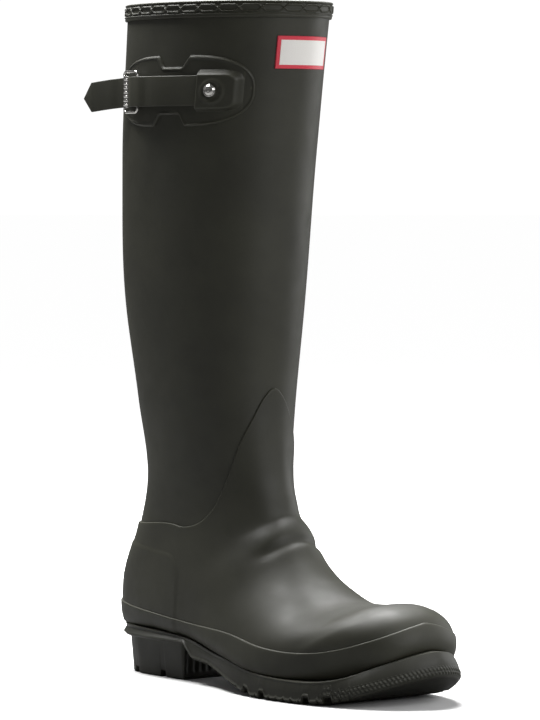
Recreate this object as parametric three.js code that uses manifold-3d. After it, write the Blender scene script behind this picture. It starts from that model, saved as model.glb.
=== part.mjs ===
// A tall rubber rain boot for the right foot, built up in layers the way the real one is.
// Millimetres, +Z up. The toe points towards -Y and the outer (lateral) side of the leg is -X.
// The origin is on the ground under the middle of the heel.
import * as THREE from 'three';
import { mergeVertices } from 'three/addons/utils/BufferGeometryUtils.js';
import Module from 'manifold-3d';

const wasm = await Module();
wasm.setup();

// ---- driving dimensions ------------------------------------------------------------------------
const HEEL_CENTRE = 28; // how far forward of the back of the ankle the origin lies
const RIM = 414; // top edge of the leg panel
const GAP = 0.3; // clearance between pieces that touch

// Layers, as distances out from the face of the leg panel: [inner face, outer face]
const LEG_RUBBER = [-2.2, 0];
const VAMP_RUBBER = [-2.2, 1.2];
const VAMP_LAP = 0.5; // inner face of the vamp where it laps over the leg panel
const STIFFENER = [-3.8, -2.8];
const LEG_CLOTH = [-4.0, -2.8];
const FOOT_CLOTH = [-5.4, -4.2];
const FOOTBED = [-10, -5.8];
const FOXING = [2.2, 3.3];
const SHANK = [1.8, 3.0];
const SHANK_ROOM = { ends: 0.005, above: 1.5, below: 0.6 }; // the pocket round it in the outsole
const SOLE_RECESS = 2.5;

// The last. One row per section from the toe to the rim. A section is a closed ring that passes through
// a front point and a back point, both in the plane that halves the boot:
// front forward, front height, back forward, back height, half width outer side, half width inner side,
// sideways place of the front, of the back, place of the widest line (0 back, 1 front),
// squareness of the back half, squareness of the front half.
const LAST = [
  [246, 26.2, 233, 16.6, 17, 17, 8, 8, 0.5, 3, 2.2],
  [250, 38.1, 220, 12.9, 29, 28, 8, 7, 0.42, 4, 2.2],
  [243, 50.3, 205, 10.9, 38, 37, 7, 6, 0.38, 5, 2.3],
  [228, 56.7, 190, 10.3, 44, 42, 6, 4, 0.36, 5, 2.3],
  [207, 55.3, 170, 10.3, 47, 44, 5, 1, 0.34, 5, 2.2],
  [184, 55.9, 143, 13.6, 47, 43, 3, -1, 0.32, 5, 2.1],
  [163, 65.5, 110, 19.5, 43, 39, 1, -1, 0.32, 4.5, 2.1],
  [149, 76.9, 74, 26, 38.5, 36.5, 0, 0, 0.35, 4.5, 2.1],
  [137, 90.2, 34, 27.8, 37, 36, 0, 0, 0.4, 4, 2.2],
  [125, 103.6, -13, 30, 35.5, 34.5, 0, 0, 0.45, 3, 2.3],
  [119, 117.7, -19, 52, 34, 33, 0, 0, 0.46, 2.6, 2.3],
  [115, 134.8, -6, 85, 34.5, 33.5, 0, 0, 0.48, 2.3, 2.2],
  [113, 154.9, 5, 117, 37, 36, 0, 0, 0.5, 2.2, 2.2],
  [113, 182.9, 0, 170, 42, 41, 0, 0, 0.5, 2.2, 2.2],
  [119, 234.7, -11, 229, 46.5, 45.5, 0, 0, 0.5, 2.2, 2.2],
  [128, 324.5, -12, 321, 50.5, 49.5, 0, 0, 0.5, 2.2, 2.2],
  [141, RIM, -5, RIM, 52, 51, 0, 0, 0.5, 2.2, 2.2],
];

// Places along the last where something ends, from 0 at the toe to 1 at the rim
const ANKLE = 0.56; // the foot's lining meets the leg's lining
const SHANK_SPAN = [0.158, 0.257]; // from the ball of the foot to the front of the heel
const HEEL_TURN = 0.36; // the sole turns up into the back of the heel

// Upper edge of the vamp: [share of the way round from the front to the back, place along the last]
const VAMP_EDGE = [
  [-0.05, 0.554], [0, 0.569], [0.05, 0.554], [0.1, 0.521], [0.145, 0.492], [0.205, 0.44],
  [0.24, 0.416], [0.29, 0.405], [0.39, 0.408], [0.47, 0.422], [0.7, 0.447], [1, 0.47],
];
const VAMP_OVERLAP = 0.022;
const LAP_START = 1.3; // where the vamp's inner face steps out, in overlaps below its edge

// Heights against distance forward, and the plan outline of the outsole (sideways, forward)
const WELT = [
  [-25, 31], [30, 30], [60, 28.5], [80, 26.5], [100, 22.5], [125, 19.6],
  [157, 14.7], [187, 13.4], [209, 14.2], [222, 16.4], [244, 24.5], [262, 33],
];
const FOXING_TOP = [
  [-25, 46], [30, 41.5], [80, 37.5], [125, 35.6], [165, 30.5],
  [190, 29.8], [210, 31.5], [240, 39.5], [262, 49],
];
const TREAD = [
  [-25, 23.2], [70, 23.2], [80, 15], [100, 13], [125, 7], [142, 2],
  [152, 0], [195, 0], [215, 1.5], [228, 4.5], [245, 11], [262, 19.5],
];
const FOXING_ROWS = [0, 0.18, 0.5, 1]; // rows of the foxing, from the welt to its top
const EDGE = { under: 3.5, bulge: 1, lip: 0.3, rise: 2 }; // how far the sole's edge draws in, and rises
const RECESS_STEPS = [1.2, 2.2]; // how far the recess for the foot sinks below the welt at its side
const SOLE_PLAN = [
  [0, -18], [-21, -12], [-34, 6], [-37.5, 30], [-38, 62], [-41, 98], [-47.5, 130], [-50.5, 160],
  [-49, 190], [-43, 217], [-30, 241], [-10, 257], [8, 262], [26, 256], [41, 234], [47, 205],
  [48, 172], [45, 138], [40, 100], [36.5, 62], [36, 30], [33, 6], [21, -12],
];
const SOLE_STATIONS = 64;
const GROOVES = [143, 170, 196, 221]; // forward places of the grooves across the tread
const GROOVE = { width: 5, depth: 3.5, slant: 0.12, length: 130 };

const HEEL = { halfWidth: 32, back: -13, breast: 63, height: 22.4, groove: [12, 40] };
const CORE = { halfWidth: 19, back: 4, breast: 50, low: 9 };
const RIM_BAND = { low: 406, high: 416, roof: RIM + 2 * GAP };
const RIM_OUT = { under: 0.3, front: 1.9, bead: 2.2, waist: 1.7, lip: 1.2 };
const RIM_IN = { back: -4.6, face: -5.4, under: -4.3 };
const STRAP = { height: 362, width: 18.3, thick: 1.8, start: 40, meets: 100 };
const PATCH = {
  middle: 84,
  halfLength: 58,
  halfHeight: 21.5,
  lobe: 42,
  squareness: 2.4,
  notch: [7.3, 14.2],
  notchDepth: 7,
  thick: [0.4, 1.4],
};
const BLUNT = 0.08; // share of its width that a pointed end keeps at its tip
const PATCH_TIP = 1; // half height of the patch at its very ends
const POCKET = { from: 34, to: 62, halfHeight: 12.5, top: 6 };
const POCKET_SHARES = [0, 0.12, 0.3, 0.5, 0.75, 1];
const POCKET_LEVELS = [-1, -0.86, -0.6, 0, 0.6, 0.86, 1];
const POCKET_WALL = 0.5; // least thickness of the pocket, at its edges
const STUD = { along: 52, cap: 4.2, shank: 1.9, washer: 5 };
const STRAP_OFF = { pocket: 3.5, climb: 3.5, from: 68, to: 110 }; // it climbs to the buckle's front bar
const BUCKLE = { along: 113, height: 27, length: 17, bar: 2.2, rail: 1.45, lift: 4, tilt: 0.04 };
const TAIL = { length: 41, point: 7.5, turn: 0.18, bend: 14, droop: 0.08, gap: 0.45 };
const TAIL_ROOT = [15, 1.9]; // where the tail leaves the strap: back along the leg from the buckle, and out
const LABEL = { middle: -6, height: 385, width: 43, tall: 19.6, border: 2.2 };
const LABEL_LAYERS = { base: [0.4, 1.2], face: [1.5, 1.9] };
const LOOP = { from: 88, rivet: 94, thick: 0.9, halfHeight: 6, off: 2.4, shank: 1.5 };
const RIVET = { foot: -4.6, washer: -5, inner: -9, outer: 12 }; // places along a rivet, off the leg
const BACK_STRIP = { halfWidth: 6.5, low: 49, high: 405, layer: [0.7, 1.8], overVamp: 1.8, seam: 0.5 };
const BACK_STRIP_ROWS = [0, 0.04, 0.08, 0.12, 0.16, 0.2, 0.24, 0.3, 0.38, 0.48, 0.6, 0.72, 0.84, 0.93, 1];

// ---- materials ----------------------------------------------------------------------------------
function paint(color, roughness, metalness = 0) {
  return new THREE.MeshStandardMaterial({ color, roughness, metalness });
}
const RUBBER = paint(0x4a4a40, 0.6);
const SOLE_RUBBER = paint(0x45453c, 0.7);
const CLOTH = paint(0x8a8a80, 0.95);
const BOARD = paint(0xa58f68, 0.9);
const FOAM = paint(0x50504c, 0.95);
const STEEL = paint(0x9a9c9e, 0.35, 1);
const NICKEL = paint(0xd8d8d6, 0.2, 1);
const LABEL_RED = paint(0xd8344a, 0.5);
const LABEL_WHITE = paint(0xf2efe8, 0.5);

// ---- the shape of the boot ----------------------------------------------------------------------
/** A smooth curve through rows of numbers at rising knots. */
function smooth(knots, rows) {
  const last = knots.length - 1;
  const secant = (i, k) => (rows[i + 1][k] - rows[i][k]) / (knots[i + 1] - knots[i]);
  const slope = (i, k) => {
    if (i === 0) return secant(0, k);
    if (i === last) return secant(last - 1, k);
    const before = knots[i] - knots[i - 1];
    const after = knots[i + 1] - knots[i];
    return (after * secant(i - 1, k) + before * secant(i, k)) / (before + after);
  };
  const slopes = rows.map((row, i) => row.map((_, k) => slope(i, k)));
  return (t) => {
    let i = 0;
    while (i < last - 1 && t > knots[i + 1]) {
      i += 1;
    }
    const step = knots[i + 1] - knots[i];
    const s = THREE.MathUtils.clamp((t - knots[i]) / step, 0, 1);
    const [s2, s3] = [s * s, s * s * s];
    return rows[i].map((p, k) => (2 * s3 - 3 * s2 + 1) * p + (s3 - 2 * s2 + s) * step * slopes[i][k]
      + (3 * s2 - 2 * s3) * rows[i + 1][k] + (s3 - s2) * step * slopes[i + 1][k]);
  };
}

/** A smooth curve through pairs of place and value. */
function profile(pairs) {
  const curve = smooth(pairs.map((p) => p[0]), pairs.map((p) => [p[1]]));
  return (at) => curve(at)[0];
}
const welt = profile(WELT);
const foxingTop = profile(FOXING_TOP);
const vampEdge = profile(VAMP_EDGE);

/** Height of the tread's underside, straight between its given places. */
function tread(forward) {
  const i = Math.max(1, TREAD.findIndex(([f]) => f >= forward));
  const [[f0, z0], [f1, z1]] = [TREAD[i - 1], TREAD[i]];
  return THREE.MathUtils.mapLinear(THREE.MathUtils.clamp(forward, f0, f1), f0, f1, z0, z1);
}

/** Knots of the last, spaced by how far the front and the back travel together. */
function lastKnots() {
  const knots = [0];
  for (let i = 1; i < LAST.length; i += 1) {
    const [a, b] = [LAST[i - 1], LAST[i]];
    knots.push(knots[i - 1] + Math.hypot(b[0] - a[0], b[1] - a[1]) + Math.hypot(b[2] - a[2], b[3] - a[3]));
  }
  return knots.map((k) => k / knots[knots.length - 1]);
}
const lastAt = smooth(lastKnots(), LAST);
const sections = new Map();
const ARC_STEPS = 120;
const HALVINGS = 24;
const SPOT_REACH = 2; // how far either side of a spot its direction is taken
const NUDGE = 0.002; // step along the last for its slope

/** One ring of the last, with what is needed to offset it and to walk round it at an even pace. */
function makeSection(v) {
  const row = lastAt(v);
  const [below, above] = [lastAt(Math.max(v - NUDGE, 0)), lastAt(Math.min(v + NUDGE, 1))];
  const outward = (k, sign) => {
    const [df, dz] = [above[k] - below[k], above[k + 1] - below[k + 1]];
    const length = Math.hypot(df, dz);
    return [sign * dz / length, -sign * df / length];
  };
  const [frontOut, backOut] = [outward(0, 1), outward(2, -1)];
  const at = (angle, side, off) => {
    const [c, s] = [Math.cos(angle), Math.abs(Math.sin(angle))];
    const power = 2 / (c >= 0 ? row[10] : row[9]);
    const along = c >= 0 ? row[8] + (1 - row[8]) * c ** power : row[8] - row[8] * (-c) ** power;
    const half = (side < 0 ? row[4] : row[5]) + off;
    const x = side * half * s ** power + row[7] + (row[6] - row[7]) * along;
    const f = THREE.MathUtils.lerp(row[2] + off * backOut[0], row[0] + off * frontOut[0], along);
    const z = THREE.MathUtils.lerp(row[3] + off * backOut[1], row[1] + off * frontOut[1], along);
    return new THREE.Vector3(x, HEEL_CENTRE - f, z);
  };
  const arcs = [-1, 1].map((side) => {
    const lengths = [0];
    let before = at(0, side, 0);
    for (let i = 1; i <= ARC_STEPS; i += 1) {
      const here = at(Math.PI * i / ARC_STEPS, side, 0);
      lengths.push(lengths[i - 1] + here.distanceTo(before));
      before = here;
    }
    return lengths;
  });
  return { at, arcs };
}

function section(v) {
  const key = Math.round(v * 1e5);
  if (!sections.has(key)) sections.set(key, makeSection(v));
  return sections.get(key);
}

/** Point at place v along the last and turn t round it (0 front, 0.5 back), off its face. */
function boot(v, t, off = 0) {
  const ring = section(v);
  const turn = t - Math.floor(t);
  const side = turn < 0.5 ? 0 : 1;
  const lengths = ring.arcs[side];
  const wanted = lengths[ARC_STEPS] * 2 * (side === 0 ? turn : 1 - turn);
  let i = 0;
  while (i < ARC_STEPS - 1 && lengths[i + 1] < wanted) {
    i += 1;
  }
  const share = (wanted - lengths[i]) / (lengths[i + 1] - lengths[i]);
  return ring.at(Math.PI * (i + share) / ARC_STEPS, side === 0 ? -1 : 1, off);
}

/** Place along the last where the boot has height z at turn t. */
function placeAt(z, t) {
  let [low, high] = [HEEL_TURN, 1];
  for (let i = 0; i < HALVINGS; i += 1) {
    const middle = (low + high) / 2;
    [low, high] = boot(middle, t).z < z ? [middle, high] : [low, middle];
  }
  return (low + high) / 2;
}

/** Turn round the leg at height z, for a distance from the front towards the outer side. */
function turnAt(distance, z) {
  const { arcs } = section(placeAt(z, 0.25));
  return distance / (2 * arcs[distance < 0 ? 1 : 0][ARC_STEPS]);
}

/** Point on the leg at a distance from the front towards the outer side, at height z, off its face. */
function leg(distance, z, off) {
  const t = turnAt(distance, z);
  return boot(placeAt(z, t), t, off);
}

/** A spot on the leg with its directions: back along the surface, and out. */
function spot(distance, z) {
  const [ahead, behind] = [leg(distance - SPOT_REACH, z, 0), leg(distance + SPOT_REACH, z, 0)];
  const along = behind.sub(ahead).setZ(0).normalize();
  const out = new THREE.Vector3(0, 0, 1).cross(along).normalize();
  const at = leg(distance, z, 0);
  if (out.x > 0) out.negate();
  return { at, along, out };
}

// ---- solids --------------------------------------------------------------------------------------
/** Volume inside a closed mesh, negative if its faces point in. */
function volume(points, faces) {
  const slices = faces.map(([a, b, c]) => points[a].dot(points[b].clone().cross(points[c])));
  return slices.reduce((total, slice) => total + slice, 0) / 6;
}

/** Geometry from points and triangles, turned so that its faces point out. */
function solid(points, faces) {
  const turned = volume(points, faces) < 0 ? faces.map(([a, b, c]) => [a, c, b]) : faces;
  const geometry = new THREE.BufferGeometry();
  const numbers = points.flatMap((p) => [p.x, p.y, p.z]);
  geometry.setAttribute('position', new THREE.Float32BufferAttribute(numbers, 3));
  geometry.setIndex(turned.flat());
  return geometry;
}

/** Triangles that close a ring of `count` points straight across. */
function ladder(count, index, flip) {
  const faces = [];
  for (let j = 0; j < count / 2; j += 1) {
    const [a, b, c, d] = [j, j + 1, (count - j - 1) % count, (count - j) % count];
    if (b !== c) faces.push([a, b, c]);
    if (a !== d) faces.push([a, c, d]);
  }
  return faces.map(([a, b, c]) => (flip ? [a, c, b] : [a, b, c]).map(index));
}

/**
 * A closed skin between two grids; point(row, column, side) has side 0 inside and 1 outside.
 * A wrapped skin goes all the way round, and a toed one is closed across its first row.
 */
function skin(rows, columns, point, { wrapped = false, toed = false } = {}) {
  const points = [];
  for (let side = 0; side < 2; side += 1) {
    for (let i = 0; i < rows; i += 1) {
      for (let j = 0; j < columns; j += 1) {
        points.push(point(i, j, side));
      }
    }
  }
  const at = (i, j, side) => (side * rows + i) * columns + (j % columns);
  const faces = [];
  const quad = (a, b, c, d) => faces.push([a, b, c], [a, c, d]);
  const steps = wrapped ? columns : columns - 1;
  for (let i = 0; i < rows - 1; i += 1) {
    for (let j = 0; j < steps; j += 1) {
      quad(at(i, j, 1), at(i, j + 1, 1), at(i + 1, j + 1, 1), at(i + 1, j, 1));
      quad(at(i, j, 0), at(i + 1, j, 0), at(i + 1, j + 1, 0), at(i, j + 1, 0));
    }
  }
  for (let j = 0; j < steps; j += 1) {
    if (!toed) quad(at(0, j, 0), at(0, j + 1, 0), at(0, j + 1, 1), at(0, j, 1));
    quad(at(rows - 1, j, 1), at(rows - 1, j + 1, 1), at(rows - 1, j + 1, 0), at(rows - 1, j, 0));
  }
  if (toed) {
    faces.push(...ladder(columns, (j) => at(0, j, 1), true));
    faces.push(...ladder(columns, (j) => at(0, j, 0), false));
  }
  if (!wrapped) {
    for (let i = 0; i < rows - 1; i += 1) {
      quad(at(i, 0, 0), at(i, 0, 1), at(i + 1, 0, 1), at(i + 1, 0, 0));
      const last = columns - 1;
      quad(at(i, last, 1), at(i, last, 0), at(i + 1, last, 0), at(i + 1, last, 1));
    }
  }
  return solid(points, faces);
}

/** A solid through closed loops of points, closed straight across its first and last loop. */
function loft(loops) {
  const count = loops[0].length;
  const faces = [];
  for (let i = 0; i < loops.length - 1; i += 1) {
    for (let j = 0; j < count; j += 1) {
      const [a, b] = [i * count + j, i * count + ((j + 1) % count)];
      faces.push([a, b, b + count], [a, b + count, a + count]);
    }
  }
  faces.push(...ladder(count, (j) => j, true));
  faces.push(...ladder(count, (j) => (loops.length - 1) * count + j, false));
  return solid(loops.flat(), faces);
}

/** The same body as a solid of the boolean library. */
function toManifold(geometry) {
  const bare = geometry.clone();
  bare.deleteAttribute('normal');
  bare.deleteAttribute('uv');
  const merged = mergeVertices(bare, 1e-4);
  const vertProperties = new Float32Array(merged.getAttribute('position').array);
  const triVerts = new Uint32Array(merged.index.array);
  return new wasm.Manifold(new wasm.Mesh({ numProp: 3, vertProperties, triVerts }));
}

function fromManifold(manifold) {
  const { vertProperties, triVerts } = manifold.getMesh();
  const geometry = new THREE.BufferGeometry();
  geometry.setAttribute('position', new THREE.Float32BufferAttribute(vertProperties, 3));
  geometry.setIndex([...triVerts]);
  return geometry;
}

/** A body with each of the tools taken out of it. */
function cut(geometry, ...tools) {
  const left = tools.reduce((rest, tool) => rest.subtract(toManifold(tool)), toManifold(geometry));
  return fromManifold(left);
}

/** A box that is centred on a spot, with its own sideways, forward and up sizes. */
function block(width, depth, height, x, f, z, slant = 0) {
  return new THREE.BoxGeometry(width, depth, height).rotateZ(slant).translate(x, HEEL_CENTRE - f, z);
}

const Y_AXIS = new THREE.Vector3(0, 1, 0);

/** A round bar from one point to another. */
function bar(from, to, radius, sides = 16) {
  const geometry = new THREE.CylinderGeometry(radius, radius, from.distanceTo(to), sides);
  const turn = new THREE.Quaternion().setFromUnitVectors(Y_AXIS, to.clone().sub(from).normalize());
  return geometry.applyQuaternion(turn).translate(...from.clone().add(to).multiplyScalar(0.5).toArray());
}

/** A band that stands on edge: a level path of points with a thickness, from one height to another. */
function ribbon(path, thick, low, high, taper = 0) {
  const last = path.length - 1;
  const side = (sign) => path.map((p, i) => {
    const along = path[Math.min(i + 1, last)].clone().sub(path[Math.max(i - 1, 0)]).setZ(0).normalize();
    const out = new THREE.Vector3(-along.y, along.x, 0).multiplyScalar(sign * thick / 2);
    return p.clone().add(out);
  });
  const [inner, outer] = [side(-1), side(1)];
  const middle = (low + high) / 2;
  const reach = path.map((p) => (taper === 0 ? 1 : Math.min(1, BLUNT + p.distanceTo(path[last]) / taper)));
  return skin(path.length, 2, (i, j, k) => {
    const p = (k === 0 ? inner : outer)[i];
    return p.clone().setZ(middle + (j === 0 ? low - middle : high - middle) * reach[i]);
  });
}

// ---- pieces laid over the last -------------------------------------------------------------------
const COLUMNS = 32;
const SOLE_PLACES = [0, 0.02, 0.05, 0.08, 0.114, 0.158, 0.208, 0.257, 0.3];
const LEG_PLACES = [0.56, 0.6, 0.65, 0.72, 0.8, 0.88, 0.94, 1];
const LAP_ROWS = 6; // rows from the sole up to where the vamp starts to lap over the leg
const ANKLE_ROWS = 5; // rows from there to the ankle
const CLOTH_GAP = 0.003; // bare strip at the ends of the leg's lining
const THIN_ROW = 0.004; // least spacing of rows where the vamp reaches up to the ankle
const SOLE_ROWS = SOLE_PLACES.length - 1;
const LAP_ROW = SOLE_ROWS + LAP_ROWS;
const ANKLE_ROW = LAP_ROW + ANKLE_ROWS;

const vampTop = (t) => vampEdge(2 * Math.min(t, 1 - t));
/** Place along the last of a row of the foot. All the foot's layers share these rows. */
function footPlace(row, t) {
  const lap = vampTop(t) - 2 * VAMP_OVERLAP;
  if (row <= SOLE_ROWS) return SOLE_PLACES[row];
  if (row <= LAP_ROW) {
    return THREE.MathUtils.lerp(SOLE_PLACES[SOLE_ROWS], lap, (row - SOLE_ROWS) / LAP_ROWS);
  }
  return THREE.MathUtils.lerp(lap, ANKLE, (row - LAP_ROW) / ANKLE_ROWS);
}

/** A layer over part of the foot, from row to row and from column to column. */
function footPatch(rows, columns, [inner, outer]) {
  const point = (i, j, side) => {
    const t = (columns[0] + j + COLUMNS) % COLUMNS / COLUMNS;
    return boot(footPlace(rows[0] + i, t), t, side === 0 ? inner : outer);
  };
  return skin(rows[1] - rows[0] + 1, columns[1] - columns[0] + 1, point);
}

function footLining() {
  const point = (i, j, side) => boot(footPlace(i, j / COLUMNS), j / COLUMNS, FOOT_CLOTH[side]);
  return skin(ANKLE_ROW + 1, COLUMNS, point, { wrapped: true, toed: true });
}

function legLining() {
  const places = [ANKLE + CLOTH_GAP, ...LEG_PLACES.slice(1, -1), 1 - CLOTH_GAP];
  const point = (i, j, side) => boot(places[i], j / COLUMNS, LEG_CLOTH[side]);
  return skin(places.length, COLUMNS, point, { wrapped: true });
}

function legPanel() {
  const point = (i, j, side) => {
    const t = j / COLUMNS;
    const low = vampTop(t) - VAMP_OVERLAP;
    const foot = Math.max(low + THIN_ROW * i, footPlace(LAP_ROW + i, t));
    return boot(i < ANKLE_ROWS ? foot : LEG_PLACES[i - ANKLE_ROWS], t, LEG_RUBBER[side]);
  };
  return skin(ANKLE_ROWS + LEG_PLACES.length, COLUMNS, point, { wrapped: true });
}

function vampPanel() {
  const point = (i, j, side) => {
    const t = j / COLUMNS;
    if (i <= LAP_ROW) return boot(footPlace(i, t), t, VAMP_RUBBER[side]);
    const v = vampTop(t) - (i === LAP_ROW + 1 ? LAP_START * VAMP_OVERLAP : 0);
    return boot(v, t, side === 0 ? VAMP_LAP : VAMP_RUBBER[1]);
  };
  return skin(LAP_ROW + 3, COLUMNS, point, { wrapped: true, toed: true });
}

function backStrip() {
  const { halfWidth, low, high, layer, overVamp, seam } = BACK_STRIP;
  const point = (i, j, side) => {
    const v = placeAt(THREE.MathUtils.lerp(low, high, BACK_STRIP_ROWS[i]), 0.5);
    const lengths = section(v).arcs[j < 1 ? 0 : 1];
    const t = 0.5 + (j - 1) * halfWidth / (2 * lengths[ARC_STEPS]);
    return boot(v, t, layer[side] + (v < seam ? overVamp : 0));
  };
  return skin(BACK_STRIP_ROWS.length, 3, point);
}

function rimBand() {
  const { low, high, roof } = RIM_BAND;
  const { under, front, bead, waist, lip } = RIM_OUT;
  const { back, face } = RIM_IN;
  const outline = [
    [under, low], [front, low], [bead, low + 1.6], [waist, low + 4], [front, high - 1.6], [lip, high],
    [back, high], [face, high - 1.2], [face, low + 1],
    [RIM_IN.under, low + 1], [RIM_IN.under, roof], [under, roof],
  ];
  const points = [];
  for (let j = 0; j < COLUMNS; j += 1) {
    const t = j / COLUMNS;
    points.push(...outline.map(([off, z]) => boot(placeAt(Math.min(z, RIM), t), t, off).setZ(z)));
  }
  const count = outline.length;
  const at = (j, k) => (j % COLUMNS) * count + (k % count);
  const faces = [];
  for (let j = 0; j < COLUMNS; j += 1) {
    for (let k = 0; k < count; k += 1) {
      faces.push([at(j, k), at(j, k + 1), at(j + 1, k + 1)], [at(j, k), at(j + 1, k + 1), at(j + 1, k)]);
    }
  }
  return solid(points, faces);
}

// ---- the sole ------------------------------------------------------------------------------------
/** A mesh of the foot with the given clearance, to find where straight lines meet it. */
function footMesh(off) {
  const [rows, columns] = [70, 144];
  const points = [];
  for (let i = 0; i <= rows; i += 1) {
    for (let j = 0; j < columns; j += 1) {
      points.push(boot(ANKLE * i / rows, j / columns, off));
    }
  }
  const faces = ladder(columns, (j) => j, false);
  for (let i = 0; i < rows; i += 1) {
    for (let j = 0; j < columns; j += 1) {
      const [a, b] = [i * columns + j, i * columns + ((j + 1) % columns)];
      faces.push([a, b, b + columns], [a, b + columns, a + columns]);
    }
  }
  return new THREE.Mesh(solid(points, faces), new THREE.MeshBasicMaterial({ side: THREE.DoubleSide }));
}

/** Places where a straight line meets a mesh, nearest first. */
function meets(mesh, from, direction) {
  return new THREE.Raycaster(from, direction).intersectObject(mesh).map((hit) => hit.point);
}

const planPoints = SOLE_PLAN.map(([x, f]) => new THREE.Vector3(x, HEEL_CENTRE - f, 0));
const plan = new THREE.CatmullRomCurve3(planPoints, true);
const SPINE = [HEEL_CENTRE - 225, HEEL_CENTRE - 20]; // the sole's middle line, from toe to heel
const FOOT_REACH = 30; // how far inside the sole's plan the search for the foot's side starts
const FOOT_MISSED = 6; // stand-in for the foot's distance inside the plan where it isn't met
const FAR_BELOW = -60;
const stations = [...Array(SOLE_STATIONS).keys()].map((j) => {
  const share = j / SOLE_STATIONS;
  const at = plan.getPointAt(share);
  const along = plan.getTangentAt(share);
  const out = new THREE.Vector3(-along.y, along.x, 0);
  const centre = new THREE.Vector3(0, THREE.MathUtils.clamp(at.y, ...SPINE), 0);
  if (out.dot(at.clone().sub(centre)) < 0) out.negate();
  return { at, out, centre, forward: HEEL_CENTRE - at.y };
});

/** Where the foot's side stands at a station, at height z. */
function sideOf(mesh, station, z) {
  const inside = (distance) => station.at.clone().addScaledVector(station.out, -distance).setZ(z);
  const hits = meets(mesh, inside(FOOT_REACH), station.out);
  return hits.length ? hits[hits.length - 1] : inside(FOOT_MISSED);
}

/** The height of the foot's underside over a place in plan. */
function undersideOf(mesh, place) {
  const hits = meets(mesh, place.clone().setZ(FAR_BELOW), new THREE.Vector3(0, 0, 1));
  return hits.length ? hits[0].z : welt(HEEL_CENTRE - place.y) - RECESS_STEPS[1];
}

function foxingBand() {
  const meshes = FOXING.map(footMesh);
  const point = (i, j, side) => {
    const { forward } = stations[j];
    const z = THREE.MathUtils.lerp(welt(forward) + GAP, foxingTop(forward), FOXING_ROWS[i]);
    return sideOf(meshes[side], stations[j], z);
  };
  return skin(FOXING_ROWS.length, SOLE_STATIONS, point, { wrapped: true });
}

function outsole() {
  const mesh = footMesh(SOLE_RECESS);
  const inset = (s, distance, z) => s.at.clone().addScaledVector(s.out, -distance).setZ(z);
  const towards = (s, place, share) => s.centre.clone().lerp(place.clone().setZ(0), share);
  const wall = (distance, height) => stations.map((s) => inset(s, distance, height(s.forward)));
  const side = (sink) => stations.map((s) => sideOf(mesh, s, welt(s.forward) - sink));
  const lip = side(0);
  const floor = (share) => stations.map((s, j) => {
    const place = towards(s, lip[j], share);
    return place.setZ(undersideOf(mesh, place));
  });
  const under = (share) => stations.map((s) => {
    const place = towards(s, inset(s, EDGE.under, 0), share);
    return place.setZ(tread(HEEL_CENTRE - place.y));
  });
  const corner = (forward) => tread(forward) + EDGE.rise;
  const loops = [
    under(0.15), under(0.6), under(1),
    wall(EDGE.bulge, corner),
    wall(0, (forward) => (corner(forward) + welt(forward)) / 2),
    wall(EDGE.lip, welt),
    lip, side(RECESS_STEPS[0]), side(RECESS_STEPS[1]),
    floor(0.9), floor(0.55), floor(0.15),
  ];
  const grooves = GROOVES.map((f, i) => {
    const slant = (i % 2 ? -1 : 1) * GROOVE.slant;
    return block(GROOVE.length, GROOVE.width, 2 * GROOVE.depth, 0, f, 0, slant);
  });
  const pocket = shankStrip(1, SHANK_ROOM.ends, [SHANK[0] - SHANK_ROOM.above, SHANK[1] + SHANK_ROOM.below]);
  return cut(loft(loops), ...grooves, pocket);
}

/** The shank's strip under the foot, or with room around it the pocket that it lies in. */
function shankStrip(halfColumns, room, layer) {
  const [from, to] = SHANK_SPAN;
  const step = (to - from) / 4;
  const places = [from - room, from + step, from + 2 * step, to - step, to + room];
  const turn = (j) => (COLUMNS / 2 + halfColumns * (j - 1)) / COLUMNS;
  const point = (i, j, side) => boot(places[i], turn(j), layer[side]);
  return skin(places.length, 3, point);
}

/** A heel-shaped outline: round behind, straight across in front. */
function heelShape(halfWidth, back, breast) {
  const shape = new THREE.Shape();
  const centre = HEEL_CENTRE - (back + halfWidth);
  shape.moveTo(-halfWidth, HEEL_CENTRE - breast);
  shape.lineTo(halfWidth, HEEL_CENTRE - breast);
  shape.lineTo(halfWidth, centre);
  shape.absarc(0, centre, halfWidth, 0, Math.PI, false);
  shape.closePath();
  return shape;
}

/** A flat shape raised from one height to another. */
function raised(shape, low, high) {
  const options = { depth: high - low, bevelEnabled: false, curveSegments: 14 };
  return new THREE.ExtrudeGeometry(shape, options).translate(0, 0, low);
}

function heelBlock() {
  const body = raised(heelShape(HEEL.halfWidth, HEEL.back, HEEL.breast), 0, HEEL.height);
  const hollow = raised(heelShape(CORE.halfWidth, CORE.back, CORE.breast), CORE.low, 2 * HEEL.height);
  const grooves = HEEL.groove.map((f) => block(GROOVE.length, GROOVE.width, 2 * GROOVE.depth, 0, f, 0));
  return cut(body, hollow, ...grooves);
}

function heelCore() {
  const shape = heelShape(CORE.halfWidth - GAP, CORE.back + GAP, CORE.breast - GAP);
  return raised(shape, CORE.low + GAP, HEEL.height - GAP);
}

// ---- the strap, its patch and its buckle ---------------------------------------------------------
/** Half the patch's height at a distance along the leg: long lobes at both ends, notched in the middle. */
function patchReach(distance) {
  const { middle, halfLength, halfHeight, lobe, squareness, notch, notchDepth } = PATCH;
  const from = Math.abs(distance - middle);
  const share = Math.max(0, from - (halfLength - lobe)) / lobe;
  const round = Math.max(1 - share ** squareness, 0) ** (1 / squareness);
  const [narrow, wide] = notch;
  const cutIn = notchDepth * THREE.MathUtils.clamp((wide - from) / (wide - narrow), 0, 1);
  return Math.max(halfHeight * round, PATCH_TIP) - cutIn;
}

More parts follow.
